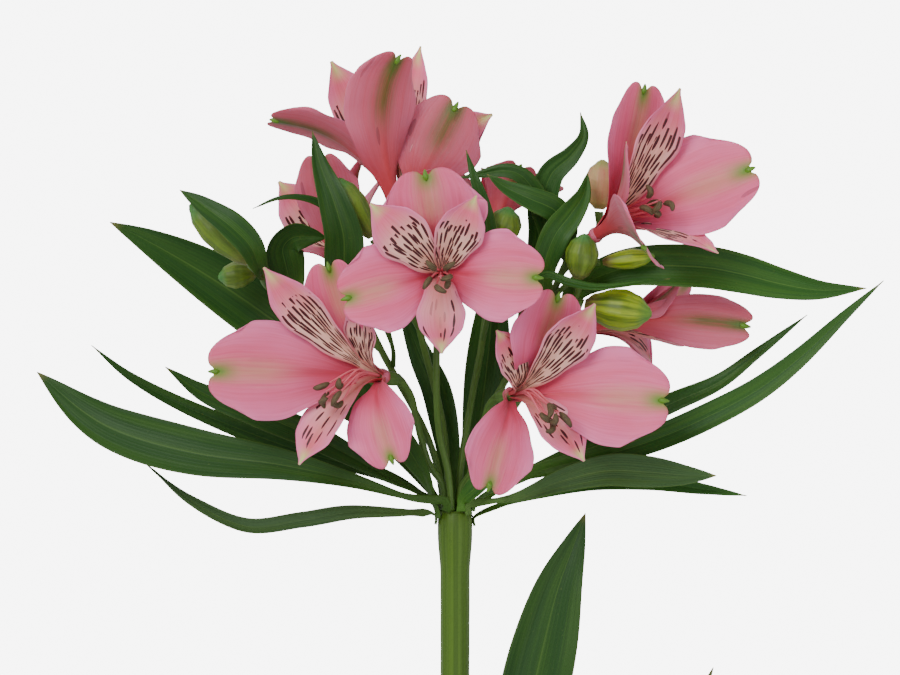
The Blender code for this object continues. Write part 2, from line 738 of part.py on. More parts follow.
# Each bud: where it starts, its tip, its width, the ray its stalk leaves, the share of that ray below the stalk, and
# what the stalk runs through
BUDS = {
    "bud_left_long": {
        "base": (-62, 75, 12),
        "tip": (-79.5, 92.4, 14),
        "width": 10,
        "ray": "left",
        "share": 0.55,
        "through": ((-24, 38, 4), (-44, 57, 0), (-56, 67, 5)),
    },
    "bud_left_small": {
        "base": (-60, 72, -6),
        "tip": (-71.5, 70.5, -5),
        "width": 8,
        "ray": "back_left",
        "share": 0.7,
        "through": ((-36, 60, -9),),
    },
    "bud_left_brown": {
        "base": (-25, 82.5, 6),
        "tip": (-35.1, 100.2, 8),
        "width": 8.5,
        "ray": "top",
        "share": 0.62,
        "through": ((-17, 66, 1),),
    },
    "bud_top_small": {
        "base": (13.5, 80, 8),
        "tip": (16.2, 91.5, 10),
        "width": 10,
        "ray": "top_back",
        "share": 0.6,
        "through": ((11, 64, -3),),
    },
    "bud_right_small": {
        "base": (37, 70, 15),
        "tip": (39, 83.4, 17),
        "width": 10,
        "ray": "upper_right",
        "share": 0.62,
        "through": ((29.5, 60, 12),),
    },
    "bud_right_large": {
        "base": (39, 62, 12),
        "tip": (59, 59.3, 14),
        "width": 12.6,
        "ray": "right",
        "share": 0.5,
        "through": ((18, 33, 6), (31, 50, 5)),
    },
    "bud_right_thin": {
        "base": (44.4, 75, 9),
        "tip": (60, 76.8, 10),
        "width": 6,
        "ray": "upper_right",
        "share": 0.74,
        "through": ((36, 70.5, 5),),
    },
    "bud_right_pink": {
        "base": (43.5, 91, 0),
        "tip": (44.5, 106, 0),
        "width": 10,
        "ray": "upper_right",
        "share": 0.82,
        "through": ((40, 80, 1),),
    },
}


def bud_mesh(base, tip, width, rings=6, sides=12):
    """A closed bud: three broad folded tepals, so its body has soft ribs, drawn to a point."""
    base, tip = Vector(base), Vector(tip)
    axis = (tip - base).normalized()
    long = (tip - base).length
    right = axis.orthogonal().normalized()
    front = axis.cross(right)
    form = bmesh.new()
    bmesh.ops.create_uvsphere(form, u_segments=sides, v_segments=rings, radius=1)
    for vertex in form.verts:
        t = (vertex.co.z + 1) / 2
        angle = math.atan2(vertex.co.y, vertex.co.x)
        radius = width / 2 * bud_radius(t) * (1 + 0.05 * math.cos(angle * 6))
        if abs(vertex.co.z) > 0.9999:
            radius = 0
        vertex.co = (base + axis * (long * t) + (right * math.cos(angle) + front * math.sin(angle)) * radius) * MM
    bmesh.ops.triangulate(form, faces=form.faces)
    bmesh.ops.recalc_face_normals(form, faces=form.faces)
    mesh = bpy.data.meshes.new("bud")
    form.to_mesh(mesh)
    form.free()
    return mesh


def bud_radius(t):
    return between(((0, 0.3), (0.12, 0.62), (0.4, 0.95), (0.58, 1), (0.8, 0.78), (0.95, 0.34), (1, 0.12)), t)


def stem_centre(y):
    """The middle of the stem at a height below the whorl."""
    share = max(0.0, -y / STEM_LENGTH - 0.02) / 0.98
    drop = mix(0, SURFACE + STEM_RADIUS_CUT - 0.22, 0.25 * smooth(share) + 0.75 * share)
    return Vector((0, y, drop))


def stem(collection):
    """The stem from its cut end, which lies on the surface, up to the whorl."""
    line = [stem_centre(-STEM_LENGTH * (1 - t)) for t in (0, 0.06, 0.2, 0.35, 0.5, 0.65, 0.8, 0.93, 0.975, 1)]
    radii = [mix(STEM_RADIUS_CUT, STEM_RADIUS_TOP, k / 9) for k in range(10)]
    radii[-1], radii[-2] = WHORL_RADIUS, WHORL_RADIUS - 0.2
    placed("stem", tube_mesh(line, radii, 3), material("stem", STEM_GREEN, 0.5), collection)


def stem_leaf(name, height, towards, line, face, collection, **form):
    towards = Vector(towards).normalized()
    start = stem_centre(height) + towards * (STEM_RADIUS_TOP + GAP + LEAF_THICKNESS / 2 + 0.1)
    rise = start + towards * 1.2 + Vector((0, 7, 0))
    clasping = towards.dot(Vector(face)) < 0
    faces = (-towards if clasping else towards, face, face)
    leaf(name, [start, rise, *line], faces=faces, collection=collection, foot_cup=0.2 if clasping else -0.2, foot_width=5, **form)


def build():
    for old in list(bpy.data.objects):
        bpy.data.objects.remove(old)
    collection = bpy.data.collections.new("alstroemeria_stem")
    bpy.context.scene.collection.children.link(collection)
    stem(collection)
    for name, facts in BLOOMS.items():
        bloom_parts(name, facts, collection)
    for name, facts in WHORL_LEAVES.items():
        whorl_leaf(f"whorl_leaf_{name}", collection=collection, **facts)
    for name, facts in STEM_LEAVES.items():
        stem_leaf(name, collection=collection, **facts)
    for name, facts in BRACTS.items():
        bract(name, collection=collection, **facts)
    for name, facts in BUDS.items():
        mesh = bud_mesh(facts["base"], facts["tip"], facts["width"])
        placed(name, mesh, material("bud", BUD_GREEN, 0.45), collection)
    centre_on_surface(collection)


def centre_on_surface(collection):
    """Moves everything so that the origin is in the middle of the part's box, on the surface it lies on."""
    points = [vertex.co for piece in collection.objects for vertex in piece.data.vertices]
    low = Vector([min(p[k] for p in points) for k in range(3)])
    high = Vector([max(p[k] for p in points) for k in range(3)])
    for piece in collection.objects:
        piece.location = (-(low.x + high.x) / 2, -(low.y + high.y) / 2, -low.z)


build()
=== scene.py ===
"""The looks of a cut stem of alstroemeria, lying on its back: leaves with parallel veins, ribbed stalks,
buds, and pink blooms whose inner tepals carry dark dashes. Each piece is a finer form of the solid that it
stands for."""

import math

import bpy
from bpy.props import FloatProperty, FloatVectorProperty, IntProperty, PointerProperty
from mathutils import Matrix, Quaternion, Vector, noise


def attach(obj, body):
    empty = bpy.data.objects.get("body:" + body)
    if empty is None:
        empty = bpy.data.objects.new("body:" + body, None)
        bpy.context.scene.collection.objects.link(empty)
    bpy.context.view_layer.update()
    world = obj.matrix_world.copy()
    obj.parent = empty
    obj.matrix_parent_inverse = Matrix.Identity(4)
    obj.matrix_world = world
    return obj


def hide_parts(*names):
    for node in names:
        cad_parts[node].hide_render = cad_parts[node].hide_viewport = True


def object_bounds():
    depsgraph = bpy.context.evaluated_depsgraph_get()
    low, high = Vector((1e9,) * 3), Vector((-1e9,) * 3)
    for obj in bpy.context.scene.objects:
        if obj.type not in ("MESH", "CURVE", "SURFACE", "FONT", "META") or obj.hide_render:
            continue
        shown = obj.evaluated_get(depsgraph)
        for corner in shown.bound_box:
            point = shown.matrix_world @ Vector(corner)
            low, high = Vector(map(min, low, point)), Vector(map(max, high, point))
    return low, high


bl_info = {
    "name": "Alstroemeria stem",
    "version": (1, 0, 0),
    "blender": (4, 5, 0),
    "location": "3D View > Sidebar > Alstroemeria",
    "description": "Builds a cut alstroemeria stem with its leaves, blooms and buds",
    "category": "Add Mesh",
}

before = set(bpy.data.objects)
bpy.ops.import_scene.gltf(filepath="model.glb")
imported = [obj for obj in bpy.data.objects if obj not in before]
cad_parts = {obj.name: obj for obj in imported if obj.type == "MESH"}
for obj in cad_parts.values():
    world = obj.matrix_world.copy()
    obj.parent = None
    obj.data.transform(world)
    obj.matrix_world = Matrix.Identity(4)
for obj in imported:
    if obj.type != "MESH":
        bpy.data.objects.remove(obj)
CAD_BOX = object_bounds()

MM = 0.001

# Places are in millimetres from the middle of the whorl of leaves. On that scale the surface lies at the
# height SURFACE, and WHORL is the whorl's own place in the frame.
SURFACE = -43
WHORL = Vector((-1.75, 74.885, 43.0))

STEM_LENGTH = 290
STEM_RADIUS_CUT = 4.2
STEM_RADIUS_TOP = 4.5
WHORL_RADIUS = 5.4

RAY_RADIUS = 1.05
RAY_RING = 3.55
PEDICEL_RADIUS = 0.85
OVARY_LENGTH = 7
OVARY_RADIUS = 2.4
GAP = 0.35

LEAF_THICKNESS = 0.65
TIP_HALF_WIDTH = 0.35

# How thick a leaf is here in its middle
LEAF_SKIN = 0.55

# Rows along the finer tubes, and sides round them
RAY_POINTS = 8
RAY_ROWS = 64
RAY_SIDES = 24
STALK_ROWS = 40
STALK_SIDES = 16
BUD_ROWS = 40
BUD_SIDES = 60

# The six stamens' lengths and the style's, and the way that each anther leans, in radians
THREAD_LENGTHS = (23, 26, 24, 27.5, 22.5, 25.5, 28)
STYLE = 6
ANTHER_TURNS = (0.3, 2.1, 3.9, 5.6, 1.2, 3.1)

# The pale surface reaches this far each way and lies this far under the part, in metres
SURFACE_REACH = 3.0
SURFACE_DROP = 0.0005

# Leaves that are turned over, so that their greyer side shows
UNDERSIDE_UP = ("right_broad", "left_low")

# Shares of the widest place along an ovary and a bud, and radii along the ring that the tepals stand on
OVARY_OUTLINE = ((0, 0.8), (0.3, 1), (0.7, 0.86), (1, 0.56))
BUD_OUTLINE = ((0, 0.3), (0.12, 0.62), (0.4, 0.95), (0.58, 1), (0.8, 0.78), (0.95, 0.34), (1, 0.12))
SEAT_RADII = ((0, 2.1), (0.5, 2.5), (1, 2.2))

OUTER_OUTLINE = ((0, 0.12), (0.2, 0.2), (0.42, 0.66), (0.62, 0.97), (0.78, 1), (0.91, 0.98), (1, 0.74))
INNER_OUTLINE = (
    (0, 0.16), (0.2, 0.2), (0.45, 0.66), (0.66, 1), (0.8, 0.88), (0.91, 0.45), (0.96, 0.16), (1, 0.03)
)


def smooth(t):
    t = min(1.0, max(0.0, t))
    return t * t * (3 - 2 * t)


def mix(a, b, t):
    return a + (b - a) * t


def bell(x, width):
    """A bump of height 1 at 0."""
    return math.exp(-((x / width) ** 2))


def between(stops, t):
    """The value at t of a curve through (place, value) stops."""
    for (t0, v0), (t1, v1) in zip(stops, stops[1:]):
        if t <= t1:
            share = (t - t0) / (t1 - t0)
            return mix(v0, v1, (smooth(share) + share) / 2)
    return stops[-1][1]


def eased(stops, t, reach=0.07):
    """The same with its corners rounded."""
    return sum(between(stops, min(1, max(0, t + reach * k / 3))) for k in range(-3, 4)) / 7


def along(dense, places):
    """Points at the given shares of a dense line's length."""
    lengths = [0.0]
    for a, b in zip(dense, dense[1:]):
        lengths.append(lengths[-1] + (b - a).length)
    found, at = [], 0
    for share in places:
        wanted = lengths[-1] * share
        while at < len(dense) - 2 and lengths[at + 1] < wanted:
            at += 1
        step = lengths[at + 1] - lengths[at] or 1
        found.append(dense[at].lerp(dense[at + 1], min(1, (wanted - lengths[at]) / step)))
    return found


def even(count):
    return [k / (count - 1) for k in range(count)]


def spline(points, places):
    """Points on a Catmull-Rom curve through the given ones."""
    knots = [Vector(p) for p in points]
    knots = [knots[0] * 2 - knots[1], *knots, knots[-1] * 2 - knots[-2]]
    dense = []
    for a, b, c, d in zip(knots, knots[1:], knots[2:], knots[3:]):
        for k in range(16):
            t = k / 16
            dense.append(
                0.5 * (
                    2 * b + (c - a) * t + (
                        2 * a - 5 * b + 4 * c - d
                    ) * t**2 + (3 * b - a - 3 * c + d) * t**3
                )
            )
    dense.append(knots[-2])
    return along(dense, places)


def arc(start, control, end, places):
    """Points on a quadratic curve from start to end."""
    return along(
        [start.lerp(control, k / 64).lerp(control.lerp(end, k / 64), k / 64) for k in range(65)], places
    )


def tangents(line):
    ends = [line[0] * 2 - line[1], *line, line[-1] * 2 - line[-2]]
    return [(b - a).normalized() for a, b in zip(ends, ends[2:])]


def turned_to_face(places, first, middle, last):
    """Face directions along a line that turn from the first to the last."""
    first, middle, last = Vector(first).normalized(), Vector(middle).normalized(), Vector(last).normalized()
    return [
        first.lerp(middle, smooth(t / 0.4)) if t < 0.4 else middle.lerp(
            last, smooth((t - 0.4) / 0.6)
        ) for t in places
    ]


def leaf_half_width(t, width, widest, foot_width):
    """A lance-shaped leaf: a narrow foot, its widest place, and a long point."""
    bend = math.log(0.5) / math.log(widest)
    lance = math.sin(math.pi * min(1, t**bend)) ** 0.9
    foot = foot_width / 2 * (1 - smooth(t / 0.3))
    return max(width / 2 * lance, foot, 0.12)


class Form:
    """A mesh in the making: points in millimetres from the whorl, faces with their material's number, and
    for each point its place across and along the piece, and a number that tells like pieces apart."""

    def __init__(self):
        self.points, self.places, self.seeds, self.faces, self.slots = [], [], [], [], []

    def grid(self, rows, seed, slot, closed=False, flip=False):
        """Faces between rows of (point, u, v)."""
        start, width = len(self.points), len(rows[0])
        for row in rows:
            for point, u, v in row:
                point.z = max(point.z, SURFACE)
                self.points.append(point)
                self.places.append((u, v))
                self.seeds.append(seed)
        for r in range(len(rows) - 1):
            for c in range(width if closed else width - 1):
                a, b = start + r * width + c, start + r * width + (c + 1) % width
                quad = (a, b, b + width, a + width)
                self.faces.append(quad[::-1] if flip else quad)
                self.slots.append(slot)
        return start

    def cap(self, ring, seed, slot, flip=False):
        """Closes a ring of the form's points with a fan round its middle."""
        middle = sum((self.points[k] for k in ring), Vector()) / len(ring)
        self.points.append(middle)
        self.places.append((0.5, self.places[ring[0]][1]))
        self.seeds.append(seed)
        for a, b in zip(ring, [*ring[1:], ring[0]]):
            face = (a, b, len(self.points) - 1)
            self.faces.append(face[::-1] if flip else face)
            self.slots.append(slot)

    def blade(self, line, faces, halves, rise, seed, thickness=0.5, columns=12, slots=(0, 1), lag=None):
        """A thin blade that is thinner towards its edges. rise(t, across, half) lifts it towards its face,
        and lag(t, across, half) shortens it."""
        ways, shares, sheet = tangents(line), even(len(line)), []
        for place, way, facing, half, t in zip(line, ways, faces, halves, shares):
            side = way.cross(facing).normalized()
            face = side.cross(way).normalized()
            row = []
            for column in range(columns + 1):
                share = 2 * column / columns - 1
                across = math.sin(math.pi / 2 * share) * 0.45 + share * 0.55
                point = place + side * (half * across) + face * rise(t, across, half)
                if lag:
                    point -= way * lag(t, across, half)
                point.z = max(point.z, SURFACE + thickness * 0.7)
                row.append((point, across, face))
            sheet.append(row)
        front, back = [], []
        for r, row in enumerate(sheet):
            above, below = sheet[min(r + 1, len(sheet) - 1)], sheet[max(r - 1, 0)]
            fronts, backs = [], []
            for c, (point, across, face) in enumerate(row):
                over = row[min(c + 1, columns)][0] - row[max(c - 1, 0)][0]
                up = over.cross(above[c][0] - below[c][0])
                up = up.normalized() if up.length > 1e-6 and up.dot(face) > 0 else face
                end = min(1, (1 - shares[r]) / 0.04, 0.4 + shares[r] * 20)
                deep = thickness / 2 * (1 - 0.75 * abs(across) ** 5) * mix(0.35, 1, end)
                fronts.append((point + up * deep, (across + 1) / 2, shares[r]))
                backs.append((point - up * deep, (across + 1) / 2, shares[r]))
            front.append(fronts)
            back.append(backs)
        a = self.grid(front, seed, slots[0])
        b = self.grid(back, seed, slots[1], flip=True)
        width, count = columns + 1, len(sheet)
        edge = [*range(width), *(width * r + columns for r in range(1, count))]
        edge += [width * (count - 1) + c for c in range(columns - 1, -1, -1)]
        edge += [width * r for r in range(count - 2, 0, -1)]
        for p, q in zip(edge, [*edge[1:], edge[0]]):
            self.faces.append((a + q, a + p, b + p, b + q))
            self.slots.append(slots[0])

    def tube(self, line, radius, seed, slot=0, sides=12, turned=None):
        """A tube whose radius(t, angle) may change along it and round it."""
        ways, shares = tangents(line), even(len(line))
        right = turned.copy() if turned else ways[0].orthogonal()
        rows = []
        for place, way, t in zip(line, ways, shares):
            right = (right - way * right.dot(way)).normalized()
            front = way.cross(right)
            row = []
            for k in range(sides):
                angle = 2 * math.pi * k / sides
                out = right * math.cos(angle) + front * math.sin(angle)
                row.append((place + out * radius(t, angle), k / sides, t))
            rows.append(row)
        start = self.grid(rows, seed, slot, closed=True)
        self.cap(list(range(start, start + sides)), seed, slot, flip=True)
        last = start + sides * (len(rows) - 1)
        self.cap(list(range(last, last + sides)), seed, slot)

    def piece(self, name, materials, node, slot):
        """The finished object, in place of its CAD node."""
        mesh = bpy.data.meshes.new(name)
        mesh.from_pydata([(point + WHORL) * MM for point in self.points], [], self.faces)
        mesh.polygons.foreach_set("material_index", self.slots)
        mesh.polygons.foreach_set("use_smooth", [True] * len(self.faces))
        places = mesh.uv_layers.new(name="UVMap")
        corners = [0] * len(mesh.loops)
        mesh.loops.foreach_get("vertex_index", corners)
        places.data.foreach_set("uv", [value for corner in corners for value in self.places[corner]])
        mesh.attributes.new("seed", "FLOAT", "POINT").data.foreach_set("value", self.seeds)
        for made in materials:
            mesh.materials.append(made)
        mesh.update()
        piece = bpy.data.objects.new(name, mesh)
        bpy.context.scene.collection.objects.link(piece)
        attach(piece, "root")
        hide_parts(node)
        return piece


# Each bloom: its base, the way it faces, the place of its ray in the ring, what the ray runs through, and
# its tepals, each with a tip and a width. Three are outer and broad, three inner and pointed.
BLOOMS = {
    "centre": {
        "base": (-4.3, 71.5, 27),
        "axis": (0.0, 0.02, 1),
        "ring": 105,
        "droop": (0, -1.5, 0),
        "through": ((-5, 26, 9), (-5.5, 52, 13)),
        "tepals": (
            {"tip": (-9, 101.8, 43), "width": 34, "reach": 18},
            {"tip": (25.8, 70, 46), "width": 28, "reach": 18},
            {"tip": (-33.5, 63.6, 46), "width": 27, "reach": 18},
            {"tip": (-25.2, 92.1, 50), "width": 17, "inner": True, "reach": 20, "roll": -12},
            {"tip": (6.3, 94.5, 50), "width": 15, "inner": True, "reach": 20, "roll": 14},
            {"tip": (-4, 47.5, 45), "width": 15, "inner": True, "reach": 19},
        ),
    },
    "left": {
        "base": (-21, 40.5, 19),
        "axis": (-0.6, 0.15, 0.79),
        "ring": 150,
        "droop": (0, -7, 0),
        "through": ((-8.5, 16, 4),),
        "tepals": (
            {"tip": (-73.2, 42.2, 33), "width": 31, "reach": 14},
            {"tip": (-38, 74.5, 33), "width": 27, "reach": 15},
            {
                "tip": (-18.5, 14.8, 36), "width": 22.5, "reach": 15, "bend": (3, -3, 4),
                "face": (-0.4, 0.1, 0.85),
            },
            {"tip": (-57, 73.2, 38), "width": 15, "inner": True, "reach": 16},
            {"tip": (-27, 64, 36), "width": 13, "inner": True, "reach": 15},
            {"tip": (-46.5, 14.4, 36), "width": 15, "inner": True, "reach": 16},
        ),
    },
    "right": {
        "base": (16, 35, 19),
        "axis": (0.5, 0.12, 0.86),
        "ring": 60,
        "droop": (0, -7, 0),
        "through": ((6, 14, 5),),
        "tepals": (
            {"tip": (63.4, 33.4, 33), "width": 31, "reach": 14},
            {"tip": (31, 65.5, 34), "width": 26, "reach": 15},
            {
                "tip": (9.8, 6.8, 37), "width": 22.5, "reach": 15, "bend": (-6, -3, 4),
                "face": (0.4, 0.1, 0.85),
            },
            {"tip": (12.3, 54.5, 37), "width": 14, "inner": True, "reach": 16},
            {"tip": (41.7, 62.4, 38), "width": 15.5, "inner": True, "reach": 16},
            {"tip": (38.5, 15.5, 36), "width": 15.5, "inner": True, "reach": 15},
        ),
    },
    "upper_right": {
        "base": (41.5, 82.5, 8),
        "axis": (0.64, 0.5, 0.58),
        "ring": 15,
        "droop": (1, -3, 4),
        "through": ((9, 28, 3), (24, 54, 3)),
        "tepals": (
            {"tip": (57, 128, 14), "width": 25, "reach": 15},
            {"tip": (89.6, 103.2, 18), "width": 33, "reach": 16},
            {"tip": (56.5, 78.5, 43), "width": 28, "reach": 16, "face": (0.78, 0.64, -0.3)},
            {"tip": (67.4, 127, 22), "width": 17, "inner": True, "reach": 17},
            {"tip": (78.6, 77.5, 30), "width": 13, "inner": True, "reach": 17},
            {"tip": (51, 110.5, 40), "width": 14, "inner": True, "reach": 17},
        ),
    },
    "top": {
        "base": (-17, 88, -4),
        "axis": (-0.17, 0.98, -0.06),
        "ring": 240,
        "droop": (0, 0, 0.5),
        "opening": 0.3,
        "through": ((-4, 28, -5), (-11, 56, -6)),
        "tepals": (
            {"tip": (-16.5, 137, 10), "width": 25, "reach": 32, "bend": (-6, 2, 7)},
            {
                "tip": (-55.5, 118, 0), "width": 22, "reach": 26, "bend": (-2, 1, 0),
                "face": (0.55, 0.72, -0.42),
            },
            {"tip": (0.8, 123.2, -7), "width": 28, "reach": 11, "lift": 6, "face": (0.1, 0.2, -1)},
            {"tip": (-37.5, 136, -11), "width": 18, "inner": True, "reach": 18, "face": (0.5, -0.1, 0.85)},
            {"tip": (-10.4, 140.6, -13), "width": 10, "inner": True, "reach": 14, "face": (0, -0.3, 1)},
            {"tip": (11.4, 120, -17), "width": 15, "inner": True, "reach": 16, "face": (-0.3, -0.3, 1)},
        ),
    },
    "back_left": {
        "base": (-31, 68, -9),
        "axis": (-0.35, 0.85, -0.38),
        "ring": 195,
        "droop": (0, 0, -2),
        "through": ((-9, 24, -3), (-21, 46, -6)),
        "tepals": (
            {"tip": (-41, 107, -4), "width": 20, "reach": 14, "face": (0.2, 0.3, -1)},
            {"tip": (-49, 84, -47), "width": 22, "reach": 15},
            {"tip": (-20, 104, -38), "width": 24, "reach": 15},
            {"tip": (-53.4, 99.6, -12), "width": 16, "inner": True, "reach": 14, "face": (0.3, -0.3, 0.9)},
            {"tip": (-28, 108, -22), "width": 14, "inner": True, "reach": 16},
            {"tip": (-33, 90, -42), "width": 14, "inner": True, "reach": 16},
        ),
    },
    "right_back": {
        "base": (40, 55, -8),
        "axis": (0.97, 0.05, -0.2),
        "ring": 330,
        "droop": (0, 0, -3),
        "opening": 0.5,
        "through": ((9, 18, -3), (22, 38, -6)),
        "tepals": (
            {
                "tip": (88.8, 55.6, -2), "width": 17, "reach": 18, "lift": 2, "bend": (0, 5, 0),
                "face": (0.1, -0.2, -1),
            },
            {"tip": (72, 70, -30), "width": 24, "reach": 18},
            {"tip": (61, 38, -47), "width": 22, "reach": 17},
            {"tip": (68.5, 70, -8), "width": 12, "inner": True, "reach": 18},
            {"tip": (79, 56, -37), "width": 13, "inner": True, "reach": 18},
            {"tip": (60, 44, -28), "width": 13, "inner": True, "reach": 16},
        ),
    },
    "top_back": {
        "base": (12, 84, -18),
        "axis": (0.18, 0.78, -0.6),
        "ring": 285,
        "open": False,
        "through": ((4, 28, -7), (9, 56, -12)),
        "tepals": (
            {"tip": (20, 104.5, -12), "width": 18, "reach": 12},
            {"tip": (30, 96, -46), "width": 20, "reach": 14},
            {"tip": (2, 98, -41), "width": 20, "reach": 14},
            {"tip": (28, 100, -26), "width": 12, "inner": True, "reach": 14},
            {"tip": (8, 104, -28), "width": 12, "inner": True, "reach": 14},
            {"tip": (16, 94, -42), "width": 12, "inner": True, "reach": 14},
        ),
    },
}


# Each leaf of the whorl: the degrees round the stem of its foot, its line to the tip, its width, its face,
# the share of its length where it is widest, and how far its foot lies below the whorl's middle
WHORL_LEAVES = {
    "left_long": {
        "foot": 118,
        "line": (
            (-14, 4.4, 10), (-31.5, 9.6, 14), (-52.5, 14.2, 15), (-76.5, 17.4, 14), (-97.5, 22.8, 12),
            (-111, 29.6, 10), (-125.7, 42, 8),
        ),
        "width": 15,
        "face": (0, 0.25, 1),
        "widest": 0.67,
    },
    "left_thin": {
        "foot": 222,
        "line": ((-20, 10, -12), (-50, 19, -16), (-79.5, 30.3, -16), (-97.5, 39.8, -14), (-110, 50, -11)),
        "width": 6.5,
        "face": (0, 0.5, 1),
        "drop": 2,
    },
    "left_middle": {
        "foot": 196,
        "line": ((-20, 10, -3), (-39, 20.5, -2), (-59, 29.2, -1), (-75.5, 35.4, 0), (-87.3, 43.5, 2)),
        "width": 9,
        "face": (0, 0.3, 1),
        "widest": 0.6,
    },
    "left_low": {
        "foot": 168,
        "line": (
            (-17, -0.4, 3), (-31.5, -0.4, 3), (-46.5, -2.8, 3), (-63, -4.6, 3), (-79.5, 3.2, 3),
            (-93.6, 14.7, 3),
        ),
        "width": 5.6,
        "face": (0.1, 0.5, 1),
        "tip_face": (0.5, 0.6, 0.8),
        "drop": 4,
    },
    "left_high": {
        "foot": 248,
        "line": (
            (-14, 15, -13), (-28, 32, -17), (-45, 49.5, -20), (-60, 61, -21), (-76.5, 72, -20),
            (-92, 81, -17), (-104.5, 87.3, -14),
        ),
        "width": 18.5,
        "face": (0, 0.1, 1),
        "drop": 4.5,
        "widest": 0.6,
    },
    "left_inner": {
        "foot": 150,
        "line": ((-10, 12, 6), (-17, 22, 5), (-30, 31, 2), (-46, 35, 2), (-60, 37.5, 3)),
        "width": 9,
        "face": (-0.1, -0.1, 1),
        "drop": 2.2,
    },
    "upright_left": {
        "foot": 262,
        "line": ((-2, 18, -11), (-5.2, 35, -14), (-10, 46, -16), (-14, 56, -17), (-17, 65.5, -17)),
        "width": 9,
        "face": (0, 0, 1),
        "drop": 0.5,
    },
    "upright_right": {
        "foot": 298,
        "line": ((6, 18, -12), (9, 38, -15), (11, 58, -17), (11, 76, -17)),
        "width": 13,
        "face": (0, 0, 1),
        "widest": 0.6,
        "drop": 4.5,
    },
    "right_long": {
        "foot": 14,
        "line": (
            (18, 10, 2), (31.5, 13.8, 3), (43.5, 16.5, 4), (60, 21.6, 5), (75, 28, 5), (90.4, 36.2, 4),
            (103.5, 46, 3), (118, 59.5, 2), (129.2, 69.5, 1),
        ),
        "width": 8,
        "face": (0.1, 0.2, 1),
    },
    "right_thin": {
        "foot": 322,
        "line": (
            (20, 10, -9), (42, 20, -12), (63, 31.2, -12), (79.5, 38.6, -11), (92, 48, -10),
            (106.5, 59.2, -8),
        ),
        "width": 6.4,
        "face": (0, 0.3, 1),
        "drop": 2,
    },
    "right_broad": {
        "foot": 44,
        "line": ((18, 4.2, 7), (31.5, 9, 9), (45, 12.3, 10), (57, 12, 10), (69, 11, 9), (78.6, 10.8, 8)),
        "width": 10,
        "face": (0, 0.1, 1),
        "widest": 0.66,
        "drop": 1,
    },
    "right_low": {
        "foot": 350,
        "line": ((20, 3.6, -2), (40, 8.2, -3), (58, 8.8, -3), (74, 6.7, -3), (88, 4.6, -2)),
        "width": 5.4,
        "face": (0, 0.2, 1),
        "widest": 0.6,
        "drop": 4.5,
    },
    "curled": {
        "foot": 72,
        "line": ((5, 6, 9), (9, 9.5, 10), (12.5, 9, 11), (13, 5.5, 12)),
        "width": 6,
        "face": (-0.3, 0.3, 1),
        "drop": 0,
    },
}

# Leaves lower on the stem: where on the stem their foot lies, towards which side, and their form
STEM_LEAVES = {
    "stem_leaf_right": {
        "height": -112,
        "towards": (0.75, 0, 0.66),
        "line": (
            (14, -86, -4), (21.5, -62, 1), (26.3, -42, 3), (30.8, -24, 3), (36, -9.6, 2), (39.3, -0.6, 1)
        ),
        "width": 21,
        "face": (0.1, 0, 1),
        "widest": 0.55,
    },
    "stem_leaf_right_low": {
        "height": -176,
        "towards": (0.9, 0, -0.4),
        "line": ((18, -160, -28), (38, -130, -27), (57, -95, -26), (70, -68, -26), (78.6, -48, -27)),
        "width": 16,
        "face": (-0.1, 0, 1),
    },
    "stem_leaf_left_low": {
        "height": -204,
        "towards": (-0.9, 0, -0.2),
        "line": ((-20, -184, -31), (-40, -158, -34), (-58, -128, -38), (-70, -98, -40)),
        "width": 15,
        "face": (0.1, 0, 1),
    },
}

